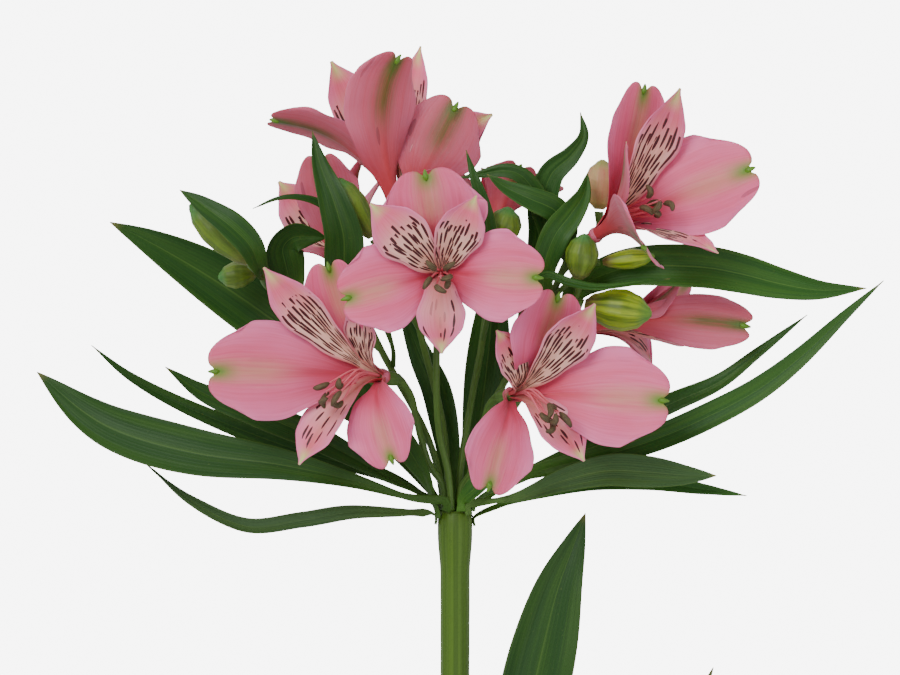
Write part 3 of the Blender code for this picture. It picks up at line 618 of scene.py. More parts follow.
# Small leaves among the rays: the ray they stand on, the share of it below them, and their form
BRACTS = {
    "bract_left_upright": {
        "ray": "back_left",
        "share": 0.8,
        "line": (
            (-30, 66, 3), (-33, 73, 10), (-33.5, 83, 13), (-36.5, 93.5, 13), (-40.5, 104.5, 11),
            (-42.9, 114.3, 9),
        ),
        "width": 12,
        "face": (0, 0, 1),
        "widest": 0.4,
    },
    "bract_left_thin": {
        "ray": "back_left",
        "share": 0.6,
        "line": (
            (-19, 50, -1), (-24, 64, 0), (-28, 76, 0.5), (-33, 86, 1), (-39.5, 92, 2), (-46, 94.4, 3),
            (-53, 94.3, 4), (-60.9, 91.2, 4),
        ),
        "width": 3.6,
        "face": (0, 0.5, 1),
    },
    "bract_left_hood": {
        "line": (
            (-48.8, 61.5, 3.6), (-49.4, 67.5, 6.2), (-50.8, 73.5, 9.3), (-51.8, 79, 11.2), (-49, 82.3, 12),
            (-44, 82.8, 11), (-38.5, 82.3, 10),
        ),
        "width": 12,
        "face": (0.5, -0.3, 1),
    },
    "bract_over_bud_left": {
        "line": (
            (-58.2, 69.9, 10.2), (-58.4, 71, 14.5), (-59, 74.2, 19), (-61.5, 80, 22.5), (-67.5, 86, 23),
            (-75, 91.5, 21), (-82.5, 96.6, 18),
        ),
        "width": 9,
        "face": (0.2, 0.4, 1),
    },
    "bract_top_arch": {
        "ray": "upper_right",
        "share": 0.74,
        "line": (
            (28, 68, -1.5), (28.5, 78, -2), (27.5, 85, 0), (26, 90, 2), (24, 96, 3), (20, 101, 4),
            (15, 102.6, 4), (8, 101.6, 3), (1, 100.4, 2),
        ),
        "width": 6,
        "face": (0, 0.3, 1),
    },
    "bract_top_thin": {
        "ray": "top_back",
        "share": 0.75,
        "line": ((8, 70, 2), (9.5, 80, 14), (9.4, 87, 18), (7.8, 94, 20), (5.5, 101, 20), (3.3, 108.6, 18)),
        "width": 5.6,
        "face": (0.2, 0, 1),
    },
    "bract_dark": {
        "ray": "upper_right",
        "share": 0.86,
        "line": (
            (33, 79, 10), (33.5, 85, 9), (30, 90.5, 10), (22.5, 94, 11), (15, 97.6, 10), (9.6, 101.4, 9)
        ),
        "width": 8,
        "face": (0, 0.3, 1),
    },
    "bract_wavy": {
        "ray": "upper_right",
        "share": 0.66,
        "line": (
            (22.5, 62, -4), (25, 74, -6), (26.5, 84, -4), (26.5, 93, -2), (29, 101.5, -1), (35, 107.2, 0),
            (38.8, 113.2, 0), (37.8, 120.3, -1),
        ),
        "width": 9,
        "face": (0, 0, 1),
    },
    "bract_right_clasping": {
        "ray": "upper_right",
        "share": 0.7,
        "line": (
            (26.5, 67.5, 9), (27, 75, 12), (30, 83, 14), (34.5, 89, 13), (38.4, 95, 11), (39.9, 102, 8)
        ),
        "width": 9,
        "face": (0.3, 0.2, 1),
    },
    "bract_right_thin": {
        "ray": "upper_right",
        "share": 0.55,
        "line": (
            (19, 55, 9), (22, 66, 14), (27, 71, 18), (34.5, 68.8, 21), (43.5, 67.4, 21), (55.5, 68.8, 19),
            (64.5, 70, 16),
        ),
        "width": 3,
        "face": (0, 0.7, 1),
    },
    "bract_right_broad": {
        "ray": "right_back",
        "share": 0.8,
        "line": (
            (33, 56, -2), (36, 66, 0), (44, 71, 2), (55.5, 73.8, 4), (73.5, 73.6, 6), (85.5, 71.6, 6),
            (97.5, 68.6, 5), (110, 66.6, 4), (124, 67.2, 2),
        ),
        "width": 13,
        "face": (0, 0.1, 1),
    },
}

# Each bud: where it starts, its tip, its width, the ray its stalk leaves, the share of that ray below the
# stalk, and what the stalk runs through
BUDS = {
    "bud_left_long": {
        "base": (-62, 75, 12),
        "tip": (-79.5, 92.4, 14),
        "width": 10,
        "ray": "left",
        "share": 0.55,
        "through": ((-24, 38, 4), (-44, 57, 0), (-56, 67, 5)),
    },
    "bud_left_small": {
        "base": (-60, 72, -6),
        "tip": (-71.5, 70.5, -5),
        "width": 8,
        "ray": "back_left",
        "share": 0.7,
        "through": ((-36, 60, -9),),
    },
    "bud_left_brown": {
        "base": (-25, 82.5, 6),
        "tip": (-35.1, 100.2, 8),
        "width": 8.5,
        "ray": "top",
        "share": 0.62,
        "through": ((-17, 66, 1),),
    },
    "bud_top_small": {
        "base": (13.5, 80, 8),
        "tip": (16.2, 91.5, 10),
        "width": 10,
        "ray": "top_back",
        "share": 0.6,
        "through": ((11, 64, -3),),
    },
    "bud_right_small": {
        "base": (37, 70, 15),
        "tip": (39, 83.4, 17),
        "width": 10,
        "ray": "upper_right",
        "share": 0.62,
        "through": ((29.5, 60, 12),),
    },
    "bud_right_large": {
        "base": (39, 62, 12),
        "tip": (59, 59.3, 14),
        "width": 12.6,
        "ray": "right",
        "share": 0.5,
        "through": ((18, 33, 6), (31, 50, 5)),
    },
    "bud_right_thin": {
        "base": (44.4, 75, 9),
        "tip": (60, 76.8, 10),
        "width": 6,
        "ray": "upper_right",
        "share": 0.74,
        "through": ((36, 70.5, 5),),
    },
    "bud_right_pink": {
        "base": (43.5, 91, 0),
        "tip": (44.5, 106, 0),
        "width": 10,
        "ray": "upper_right",
        "share": 0.82,
        "through": ((40, 80, 1),),
    },
}


def tint(red, green, blue):
    """A linear colour from the values that a screen shows."""
    return (*(((c / 255 + 0.055) / 1.055) ** 2.4 for c in (red, green, blue)), 1)


def add(tree, kind, settings=(), **inputs):
    """A node with its inputs set to values or linked to other nodes' outputs."""
    node = tree.nodes.new(kind)
    for name, value in dict(settings).items():
        setattr(node, name, value)
    for name, value in inputs.items():
        feed(tree, node.inputs[name.replace("_", " ")], value)
    return node


def feed(tree, socket, value):
    if isinstance(value, bpy.types.NodeSocket):
        tree.links.new(value, socket)
    else:
        socket.default_value = value


def maths(tree, operation, a, b=0.0, c=0.0):
    node = add(tree, "ShaderNodeMath", {"operation": operation})
    for socket, value in zip(node.inputs, (a, b, c)):
        feed(tree, socket, value)
    return node.outputs[0]


def remap(tree, value, low, high, start=0.0, end=1.0):
    """value from low to high becomes start to end, softly at both ends."""
    node = add(tree, "ShaderNodeMapRange", {"interpolation_type": "SMOOTHSTEP"}, Value=value)
    for name, number in (("From Min", low), ("From Max", high), ("To Min", start), ("To Max", end)):
        feed(tree, node.inputs[name], number)
    return node.outputs[0]


def blend(tree, share, a, b):
    node = add(tree, "ShaderNodeMix", {"data_type": "RGBA"})
    for k, value in ((0, share), (6, a), (7, b)):
        feed(tree, node.inputs[k], value)
    return node.outputs[2]


def group(name, inputs, outputs):
    """An empty node group with named sockets; its tree, and its inputs by name."""
    tree = bpy.data.node_groups.new(name, "ShaderNodeTree")
    for label, value in inputs.items():
        kind = "NodeSocketColor" if isinstance(value, tuple) else "NodeSocketFloat"
        socket = tree.interface.new_socket(label, in_out="INPUT", socket_type=kind)
        socket.default_value = value
    for label, kind in outputs.items():
        tree.interface.new_socket(label, in_out="OUTPUT", socket_type=kind)
    return tree, tree.nodes.new("NodeGroupInput").outputs


def results(tree, **values):
    end = tree.nodes.new("NodeGroupOutput")
    for name, value in values.items():
        feed(tree, end.inputs[name], value)


def place_on_piece(tree):
    """The outputs across (-1 to 1), its size without sign, along (0 to 1) and the piece's own number."""
    split = add(
        tree, "ShaderNodeSeparateXYZ", Vector=add(tree, "ShaderNodeUVMap", {"uv_map": "UVMap"}).outputs[0]
    )
    across = maths(tree, "MULTIPLY_ADD", split.outputs[0], 2.0, -1.0)
    seed = add(tree, "ShaderNodeAttribute", {"attribute_name": "seed"}).outputs["Fac"]
    return across, maths(tree, "ABSOLUTE", across), split.outputs[1], seed


def streaks(tree, across, along, seed, count, length, detail=2.0):
    """Noise drawn out along the piece."""
    where = add(
        tree,
        "ShaderNodeCombineXYZ",
        X=maths(tree, "MULTIPLY", across, count),
        Y=maths(tree, "MULTIPLY", along, length),
        Z=maths(tree, "MULTIPLY", seed, 7.31),
    )
    return add(
        tree, "ShaderNodeTexNoise", Vector=where.outputs[0], Scale=1.0, Detail=detail, Roughness=0.55
    ).outputs[0]


def mottle(tree, scale, detail=3.0):
    """Noise in the object's own space, so that it runs on from piece to piece."""
    where = add(tree, "ShaderNodeTexCoord").outputs["Object"]
    return add(tree, "ShaderNodeTexNoise", Vector=where, Scale=scale, Detail=detail).outputs[0]


FLOATS = {"Colour": "NodeSocketColor", "Roughness": "NodeSocketFloat", "Height": "NodeSocketFloat"}


def leaf_group():
    tree, given = group(
        "Leaf surface",
        {
            "Colour": tint(36, 78, 22), "Foot colour": tint(66, 106, 26), "Rib colour": tint(88, 124, 50),
            "Edge colour": tint(80, 108, 36), "Veins": 26.0, "Vein contrast": 0.07, "Gloss": 0.38,
        },
        FLOATS,
    )
    across, off, along, seed = place_on_piece(tree)
    fine = streaks(tree, across, along, seed, given["Veins"], 1.6, 3)
    broad = streaks(tree, across, along, seed, 3.0, 2.2, 1)
    crossed = maths(tree, "POWER", off, 0.9)
    crossed = maths(tree, "MULTIPLY_ADD", crossed, 44.0, maths(tree, "MULTIPLY", fine, 2.0))
    bands = maths(tree, "SINE", crossed)
    veins = remap(tree, bands, 0.35, 0.95)
    tone = remap(tree, maths(tree, "FRACT", maths(tree, "MULTIPLY", seed, 3.7)), 0.0, 1.0, 0.72, 1.22)
    base = blend(tree, remap(tree, along, 0.02, 0.42), given["Foot colour"], given["Colour"])
    base = blend(tree, remap(tree, broad, 0.35, 0.75, 0.0, 0.45), base, given["Foot colour"])
    base = blend(tree, maths(tree, "MULTIPLY", veins, given["Vein contrast"]), base, given["Rib colour"])
    base = blend(tree, maths(tree, "MULTIPLY", remap(tree, fine, 0.45, 0.7), 0.28), base, tint(18, 44, 14))
    base = blend(tree, remap(tree, off, 0.01, 0.05, 0.4, 0.0), base, given["Rib colour"])
    base = blend(tree, remap(tree, off, 0.93, 1.0, 0.0, 0.55), base, given["Edge colour"])
    base = blend(tree, remap(tree, along, 0.965, 1.0, 0.0, 0.7), base, tint(128, 118, 62))
    spots = remap(tree, mottle(tree, 900.0), 0.68, 0.76, 0.0, 0.35)
    base = blend(tree, spots, base, tint(88, 108, 44))
    scaled = add(
        tree, "ShaderNodeHueSaturation", Hue=0.5, Saturation=1.0, Value=tone, Fac=1.0, Color=base
    ).outputs[0]
    results(
        tree,
        Colour=scaled,
        Roughness=maths(tree, "MULTIPLY_ADD", fine, 0.22, given["Gloss"]),
        Height=maths(tree, "ADD", maths(tree, "MULTIPLY", bands, 0.25), maths(tree, "MULTIPLY", fine, 1.2)),
    )
    return tree


def tepal_group():
    tree, given = group(
        "Tepal surface",
        {
            "Colour": tint(222, 90, 128), "Edge colour": tint(
                235, 116, 163
            ), "Throat colour": tint(188, 52, 76),
            "Stripe colour": tint(
                192, 140, 104
            ), "Stripe": 0.72, "Stripe width": 0.5, "Tip colour": tint(92, 134, 34),
            "Tip": 1.0, "Tip width": 0.34, "Tip start": 0.8, "Ground colour": tint(
                244, 210, 180
            ), "Ground": 0.0, "Mark colour": tint(66, 0, 14),
            "Marks": 0.0, "Mark start": 0.16, "Mark end": 0.82,
        },
        FLOATS,
    )
    across, off, along, seed = place_on_piece(tree)
    fine = streaks(tree, across, along, seed, 22.0, 2.2, 3)
    broad = streaks(tree, across, along, seed, 2.6, 1.6, 1)
    base = blend(tree, remap(tree, off, 0.45, 1.0, 0.0, 0.9), given["Colour"], given["Edge colour"])
    base = blend(tree, remap(tree, broad, 0.35, 0.7, 0.0, 0.35), base, given["Edge colour"])
    base = blend(tree, remap(tree, along, 0.16, 0.62, 0.95, 0.0), base, given["Throat colour"])
    uneven = maths(tree, "ADD", off, maths(tree, "MULTIPLY", fine, 0.26))
    stripe = remap(tree, uneven, 0.08, maths(tree, "ADD", given["Stripe width"], 0.08), 1.0, 0.0)
    stripe = maths(tree, "MULTIPLY", stripe, remap(tree, along, 0.4, 0.72))
    base = blend(tree, maths(tree, "MULTIPLY", stripe, given["Stripe"]), base, given["Stripe colour"])
    middle = maths(
        tree, "MULTIPLY", remap(tree, off, 0.0, 0.24, 1.0, 0.0), remap(tree, along, 0.3, 0.7, 0.9, 0.0)
    )
    base = blend(tree, middle, base, given["Throat colour"])
    ground = maths(
        tree, "MULTIPLY", remap(tree, along, 0.56, 0.86, 1.0, 0.0), remap(tree, off, 0.7, 1.0, 1.0, 0.35)
    )
    base = blend(tree, maths(tree, "MULTIPLY", ground, given["Ground"]), base, given["Ground colour"])
    lines = remap(tree, fine, 0.42, 0.72, 0.0, 0.24)
    base = blend(tree, lines, base, given["Throat colour"])
    pale = remap(tree, fine, 0.28, 0.42, 0.2, 0.0)
    base = blend(tree, pale, base, given["Edge colour"])
    tip = remap(tree, along, given["Tip start"], 0.97)
    tip = maths(tree, "MULTIPLY", tip, remap(tree, off, 0.0, given["Tip width"], 1.0, 0.0))
    base = blend(tree, maths(tree, "MULTIPLY", tip, given["Tip"]), base, given["Tip colour"])

    shifted = maths(tree, "MULTIPLY_ADD", seed, 3.17, maths(tree, "MULTIPLY", across, 5.2))
    advanced = maths(tree, "MULTIPLY_ADD", along, 7.4, maths(tree, "MULTIPLY", seed, 5.7))
    where = add(tree, "ShaderNodeCombineXYZ", X=shifted, Y=advanced, Z=0.0)
    cell = add(
        tree,
        "ShaderNodeTexVoronoi",
        {"voronoi_dimensions": "2D", "feature": "F1"},
        Vector=where.outputs[0],
        Scale=1.0,
        Randomness=0.62,
    )
    apart = add(tree, "ShaderNodeVectorMath", {"operation": "SUBTRACT"})
    feed(tree, apart.inputs[0], where.outputs[0])
    feed(tree, apart.inputs[1], cell.outputs["Position"])
    step = add(tree, "ShaderNodeSeparateXYZ", Vector=apart.outputs[0])
    wobble = maths(tree, "MULTIPLY_ADD", fine, 0.1, -0.05)
    wide = maths(tree, "ABSOLUTE", maths(tree, "ADD", step.outputs[0], wobble))
    long = maths(tree, "ABSOLUTE", step.outputs[1])
    pick = add(tree, "ShaderNodeSeparateColor", Color=cell.outputs["Color"])
    reach = maths(tree, "MULTIPLY_ADD", pick.outputs[1], 0.34, 0.36)
    ellipse = maths(tree, "POWER", maths(tree, "DIVIDE", wide, 0.29), 2.0)
    ellipse = maths(tree, "ADD", ellipse, maths(tree, "POWER", maths(tree, "DIVIDE", long, reach), 2.0))
    dash = remap(tree, ellipse, 0.85, 1.1, 1.0, 0.0)
    begun = remap(tree, along, given["Mark start"], maths(tree, "ADD", given["Mark start"], 0.06))
    ended = remap(tree, along, maths(tree, "SUBTRACT", given["Mark end"], 0.2), given["Mark end"], 1.0, 0.0)
    many = maths(tree, "MULTIPLY", given["Marks"], maths(tree, "MULTIPLY", begun, ended))
    kept = remap(tree, maths(tree, "SUBTRACT", many, pick.outputs[0]), -0.02, 0.02)
    inside = remap(tree, off, 0.86, 0.94, 1.0, 0.0)
    dash = maths(tree, "MULTIPLY", maths(tree, "MULTIPLY", dash, kept), inside)
    base = blend(tree, dash, base, given["Mark colour"])
    tone = remap(tree, maths(tree, "FRACT", maths(tree, "MULTIPLY", seed, 5.3)), 0.0, 1.0, 0.93, 1.06)
    scaled = add(
        tree, "ShaderNodeHueSaturation", Hue=0.5, Saturation=1.0, Value=tone, Fac=1.0, Color=base
    ).outputs[0]
    results(
        tree,
        Colour=scaled,
        Roughness=maths(tree, "MULTIPLY_ADD", fine, 0.25, 0.42),
        Height=maths(tree, "MULTIPLY_ADD", fine, 1.0, maths(tree, "MULTIPLY", broad, 0.6)),
    )
    return tree


def stalk_group():
    tree, given = group(
        "Stalk surface",
        {
            "Colour": tint(80, 110, 32), "Dark colour": tint(46, 74, 18), "Flush colour": tint(120, 90, 56),
            "Streaks": 9.0, "Length": 9.0, "Dark": 0.5, "Flush": 0.0, "Flush end": 0.2, "Tip": 0.0,
            "Tip colour": tint(60, 122, 58),
        },
        FLOATS,
    )
    across, _, along, seed = place_on_piece(tree)
    turn = maths(tree, "MULTIPLY", across, math.pi)
    round_about = add(
        tree,
        "ShaderNodeCombineXYZ",
        X=maths(tree, "MULTIPLY", maths(tree, "COSINE", turn), given["Streaks"]),
        Y=maths(tree, "MULTIPLY", maths(tree, "SINE", turn), given["Streaks"]),
        Z=maths(tree, "MULTIPLY_ADD", along, given["Length"], maths(tree, "MULTIPLY", seed, 9.1)),
    )
    fine = add(
        tree, "ShaderNodeTexNoise", Vector=round_about.outputs[0], Scale=0.5, Detail=3.0, Roughness=0.6
    ).outputs[0]
    grain = mottle(tree, 1400.0, 2.0)
    base = blend(
        tree,
        maths(tree, "MULTIPLY", remap(tree, fine, 0.36, 0.66), given["Dark"]),
        given["Colour"],
        given["Dark colour"],
    )
    base = blend(
        tree,
        maths(tree, "MULTIPLY", remap(tree, along, 0.0, given["Flush end"], 1.0, 0.0), given["Flush"]),
        base,
        given["Flush colour"],
    )
    base = blend(
        tree,
        maths(tree, "MULTIPLY", remap(tree, along, 0.74, 0.95), given["Tip"]),
        base,
        given["Tip colour"],
    )
    base = blend(tree, remap(tree, grain, 0.6, 0.72, 0.0, 0.25), base, given["Dark colour"])
    results(
        tree,
        Colour=base,
        Roughness=maths(tree, "MULTIPLY_ADD", grain, 0.2, 0.38),
        Height=maths(tree, "ADD", fine, maths(tree, "MULTIPLY", grain, 0.25)),
    )
    return tree


def finish(name, kind, bump, through=0.0, sheen=0.0, shine=0.4, **values):
    """A material from one of the shared groups. through is how much light passes under the skin."""
    made = bpy.data.materials.get(name)
    if made:
        return made
    made = bpy.data.materials.new(name)
    made.use_nodes = True
    tree = made.node_tree
    shader = tree.nodes["Principled BSDF"]
    source = {"leaf": "Leaf surface", "tepal": "Tepal surface", "stalk": "Stalk surface"}[kind]
    maker = {"leaf": leaf_group, "tepal": tepal_group, "stalk": stalk_group}[kind]
    surface = add(tree, "ShaderNodeGroup", {"node_tree": bpy.data.node_groups.get(source) or maker()})
    for label, value in values.items():
        surface.inputs[label.replace("_", " ")].default_value = value
    tree.links.new(surface.outputs["Colour"], shader.inputs["Base Color"])
    tree.links.new(surface.outputs["Roughness"], shader.inputs["Roughness"])
    relief = add(tree, "ShaderNodeBump", Height=surface.outputs["Height"], Strength=bump, Distance=0.0003)
    tree.links.new(relief.outputs[0], shader.inputs["Normal"])
    shader.inputs["Subsurface Weight"].default_value = through
    shader.inputs["Subsurface Radius"].default_value = (1.0, 0.45, 0.35)
    shader.inputs["Subsurface Scale"].default_value = 0.0015
    shader.inputs["Sheen Weight"].default_value = sheen
    shader.inputs["Specular IOR Level"].default_value = shine
    return made


def leaf_front():
    return finish("leaf front", "leaf", 0.16, shine=0.24)


def leaf_back():
    return finish(
        "leaf back", "leaf", 0.3, shine=0.24, Colour=tint(58, 88, 48), Foot_colour=tint(
            78, 110, 44
        ), Rib_colour=tint(98, 124, 68),
        Vein_contrast=0.14, Gloss=0.48,
    )


def tepal_outer():
    return finish("tepal outer", "tepal", 0.25, 0.25, sheen=0.1)


def tepal_back():
    return finish(
        "tepal back", "tepal", 0.3, 0.25, sheen=0.1, Colour=tint(196, 88, 108), Edge_colour=tint(
            206, 104, 132
        ),
        Throat_colour=tint(186, 52, 60), Stripe_colour=tint(94, 84, 24), Stripe=1.0, Stripe_width=0.52,
        Tip_colour=tint(70, 100, 22),
    )


def tepal_marked():
    return finish(
        "tepal marked", "tepal", 0.25, 0.25, sheen=0.1, Colour=tint(
            230, 106, 130
        ), Throat_colour=tint(190, 58, 68),
        Stripe=0.0, Ground=0.7, Marks=1.3, Tip_colour=tint(
            206, 212, 130
        ), Tip=1.0, Tip_width=1.0, Tip_start=0.84,
    )


def tepal_lower():
    return finish(
        "tepal lower", "tepal", 0.25, 0.25, sheen=0.1, Colour=tint(228, 106, 134), Ground=0.3, Marks=0.22,
        Stripe_colour=tint(206, 92, 92), Mark_start=0.4, Mark_end=0.96, Tip_colour=tint(
            206, 212, 130
        ), Tip_width=1.0,
        Tip_start=0.84,
    )


def green_point():
    return finish(
        "green point", "stalk", 0.2, 0.1, Colour=tint(96, 140, 34), Dark_colour=tint(62, 100, 24),
        Streaks=3.0, Length=1.0,
    )


def stem_skin():
    return finish("stem skin", "stalk", 0.3, shine=0.25, Streaks=7.0, Length=3.0)


def ray_skin():
    return finish(
        "ray skin", "stalk", 0.4, Colour=tint(80, 114, 38), Dark_colour=tint(50, 84, 26), Streaks=5.0,
        Length=5.0,
    )


def ovary_skin():
    return finish(
        "ovary skin", "stalk", 0.4, Colour=tint(76, 110, 38), Dark_colour=tint(42, 70, 22), Streaks=6.0,
        Length=2.0,
    )


def bud_skin():
    return finish(
        "bud skin", "stalk", 0.4, 0.15, Colour=tint(
            150, 172, 24
        ), Dark_colour=tint(66, 92, 12), Streaks=6.0, Length=1.6,
        Flush_colour=tint(
            124, 84, 62
        ), Flush=0.7, Flush_end=0.32, Tip=0.7, Tip_colour=tint(70, 124, 42), Dark=0.9,
    )


def bud_green_skin():
    return finish(
        "bud green skin", "stalk", 0.4, 0.15, Colour=tint(
            108, 134, 36
        ), Dark_colour=tint(62, 86, 22), Streaks=4.0,
        Length=2.5, Flush_colour=tint(120, 110, 60), Flush=0.5, Flush_end=0.3, Tip=0.8, Dark=0.7,
    )


def bud_pink_skin():
    return finish(
        "bud pink skin", "stalk", 0.4, 0.2, Colour=tint(
            190, 156, 108
        ), Dark_colour=tint(196, 104, 104), Streaks=4.0,
        Length=2.0, Flush_colour=tint(
            150, 140, 62
        ), Flush=0.8, Flush_end=0.35, Tip=0.8, Tip_colour=tint(132, 148, 66),
    )


def anther_skin():
    return finish(
        "anther skin", "stalk", 0.8, shine=0.15, Colour=tint(104, 88, 62), Dark_colour=tint(44, 40, 40),
        Streaks=8.0, Length=10.0,
    )


def filament_skin():
    return finish(
        "filament skin", "stalk", 0.2, 0.2, Colour=tint(226, 116, 128), Dark_colour=tint(196, 76, 92),
        Streaks=3.0, Length=3.0,
    )


def cut_face():
    return finish(
        "cut face", "stalk", 0.6, Colour=tint(178, 186, 120), Dark_colour=tint(116, 132, 70), Streaks=14.0,
        Length=1.0,
    )


def curved(t, across, half, cup_from, cup_to, until):
    """How far a blade's edges rise towards its face."""
    return mix(cup_from, cup_to, smooth(t / until)) * half * across * across


def ripple(t, across, seed, size):
    """Soft unevenness, strongest at the edges."""
    at = Vector((t * 5 + seed * 3.1, across * 1.6, seed * 1.7))
    return noise.noise(at) * size * (0.25 + abs(across) ** 2) * smooth(t * 4) * smooth((1 - t) * 12)


def add_leaf(form, line, width, faces, seed, widest=0.5, cup=0.25, foot_cup=0.6, foot_width=3):
    looks = bpy.context.scene.alstroemeria_looks
    places = even(looks.leaf_rows)
    halves = [leaf_half_width(t, width, widest, foot_width) for t in places]

    def rise(t, across, half):
        up = curved(t, across, half, foot_cup, cup, 0.35) + ripple(t, across, seed, looks.leaf_ripple)
        pleats = math.cos(abs(across) * 22) * 0.025 - 0.2 * bell(across * half, 0.45)
        return up + pleats * min(1, half / 3)

    facing = turned_to_face(places, *faces)
    form.blade(spline(line, places), facing, halves, rise, seed, LEAF_SKIN, looks.leaf_columns)


def whorl_leaf_piece(number, name, foot, line, width, face, tip_face=None, drop=0.0, **details):
    """A leaf whose foot clasps the stem at foot degrees round it."""
    radial = Vector((math.cos(math.radians(foot)), 0, math.sin(math.radians(foot))))
    start = radial * (WHORL_RADIUS + GAP + LEAF_THICKNESS / 2 + 0.05) + Vector((0, -drop, 0))
    rise = start + radial * 0.6 + Vector((0, 3.2, 0))
    clasping = radial.dot(Vector(face)) < 0
    faces = (-radial if clasping else radial, face, tip_face or face)
    form = Form()
    add_leaf(
        form, [start, rise, *line], width, faces, number, foot_cup=0.12 if clasping else -0.12, **details
    )
    skins = [leaf_back(), leaf_front()] if name in UNDERSIDE_UP else [leaf_front(), leaf_back()]
    form.piece(f"leaf_{name}", skins, f"whorl_leaf_{name}", "leaf")


def stem_leaf_piece(number, name, height, towards, line, width, face, **details):
    towards = Vector(towards).normalized()
    start = stem_centre(height) + towards * (STEM_RADIUS_TOP + GAP + LEAF_THICKNESS / 2 + 0.1)
    rise = start + towards * 1.2 + Vector((0, 7, 0))
    clasping = towards.dot(Vector(face)) < 0
    faces = (-towards if clasping else towards, face, face)
    form = Form()
    add_leaf(
        form, [start, rise, *line], width, faces, number, foot_cup=0.2 if clasping else -0.2, foot_width=5,
        **details,
    )
    form.piece(f"low_{name}", [leaf_front(), leaf_back()], name, "leaf")


def bract_piece(number, name, line, width, face, ray=None, share=0.8, **details):
    """A small leaf, whose foot is beside its ray."""
    line = [Vector(p) for p in line]
    if ray:
        start = spline(bloom_ray_line(BLOOMS[ray]), [share])[0]
        start += (line[0] - start).normalized() * (RAY_RADIUS + 1.1)
        line = [start, *line]
    form = Form()
    add_leaf(form, line, width, (face, face, face), number, foot_width=1.5, **details)
    form.piece(f"small_leaf_{name}", [leaf_front(), leaf_back()], name, "leaf")


def stem_centre(y):
    """The middle of the stem at a height below the whorl."""
    share = max(0.0, -y / STEM_LENGTH - 0.02) / 0.98
    drop = mix(0, SURFACE + STEM_RADIUS_CUT - 0.22, 0.25 * smooth(share) + 0.75 * share)
    return Vector((0, y, drop))


def stem_piece():
    """The ribbed stem, with a scar where each of its leaves leaves it, swollen at the whorl."""
    looks = bpy.context.scene.alstroemeria_looks
    count = looks.stem_rows
    line = [stem_centre(-STEM_LENGTH * (1 - k / (count - 1))) for k in range(count)]
    scars = [1 + leaf["height"] / STEM_LENGTH for leaf in STEM_LEAVES.values()]

    def radius(t, angle):
        swelling = (WHORL_RADIUS - STEM_RADIUS_TOP - 0.15) * smooth((t - 0.93) / 0.045)
        plain = mix(STEM_RADIUS_CUT, STEM_RADIUS_TOP, t) + swelling - 0.5 * smooth((t - 0.99) / 0.01)
        ribs = math.cos(angle * 9 + t * 5) * 0.09 + math.cos(angle * 14 - t * 3) * 0.05
        bends = noise.noise(Vector((math.cos(angle), math.sin(angle), t * 26))) * 0.12
        scar = sum(0.28 * bell((t - at) * STEM_LENGTH, 1.5) for at in scars)
        return plain - 0.1 + ribs + bends + scar

    form = Form()
    form.tube(line, radius, 1.0, 0, looks.stem_sides, Vector((1, 0, 0)))
    for k, face in enumerate(form.faces):
        if len(face) == 3 and all(form.points[p].y < -STEM_LENGTH + 1 for p in face):
            form.slots[k] = 1
    form.piece("stem_ribbed", [stem_skin(), cut_face()], "stem", "stem")


def bloom_ray_line(facts):
    """A ray's centres: from its place in the ring on the stem's top to the seat under its bloom."""
    axis = Vector(facts["axis"]).normalized()
    seat = Vector(facts["base"]) - axis * GAP
    angle = math.radians(facts["ring"])
    start = Vector((math.cos(angle) * RAY_RING, GAP, math.sin(angle) * RAY_RING))
    second = start + Vector((math.cos(angle) * 0.5, 7, math.sin(angle) * 0.5))
    return spline(
        [start, second, *facts["through"], seat - axis * (OVARY_LENGTH + 3), seat], even(RAY_POINTS)
    )


def add_stalk(form, ray_line, seed, base, tip, width, share, through, **_):
    """The stalk of a bud, from inside its ray to just under the bud, where it thickens."""
    base, way = Vector(base), (Vector(tip) - Vector(base)).normalized()
    start, foot = spline(ray_line, [share])[0], base - way * GAP * 2

    def radius(t, angle):
        return mix(PEDICEL_RADIUS, width * 0.14, smooth((t - 0.8) / 0.2)) + 0.04 * math.cos(angle * 5)

    line = spline([start, *through, foot - way * 5, foot], even(STALK_ROWS))
    form.tube(line, radius, seed, 0, STALK_SIDES)


def ray_piece(number, name, facts):
    """A ray that ends in a ribbed ovary, with the stalks of the buds it carries."""
    axis = Vector(facts["axis"]).normalized()
    coarse = bloom_ray_line(facts)
    seat = coarse[-1]
    kept = [p for p in coarse if (p - seat).length > OVARY_LENGTH + 1]
    line = spline([*kept, *(seat - axis * OVARY_LENGTH * (1 - s) for s in (0, 0.5, 1))], even(RAY_ROWS))
    form = Form()

    def radius(t, angle):
        d = (line[round(t * (RAY_ROWS - 1))] - seat).length
        if d > OVARY_LENGTH:
            swell = 0.35 * bell(d - OVARY_LENGTH, 2.5)
            uneven = 0.06 * noise.noise(Vector((t * 30, angle, number)))
            return RAY_RADIUS + swell + 0.05 * math.cos(angle * 6) + uneven
        shape = between(OVARY_OUTLINE, d / OVARY_LENGTH)
        return OVARY_RADIUS * shape * (0.94 + 0.07 * math.cos(angle * 6))

    form.tube(line, radius, number, 0, RAY_SIDES)
    for r in range(RAY_ROWS - 1):
        if (line[r] - seat).length < OVARY_LENGTH:
            for c in range(RAY_SIDES):
                form.slots[r * RAY_SIDES + c] = 1
    for bud in BUDS.values():
        if bud["ray"] == name:
            add_stalk(form, coarse, number + 0.37, **bud)
    form.piece(f"stalk_{name}", [ray_skin(), ovary_skin()], f"ray_{name}", "stem")


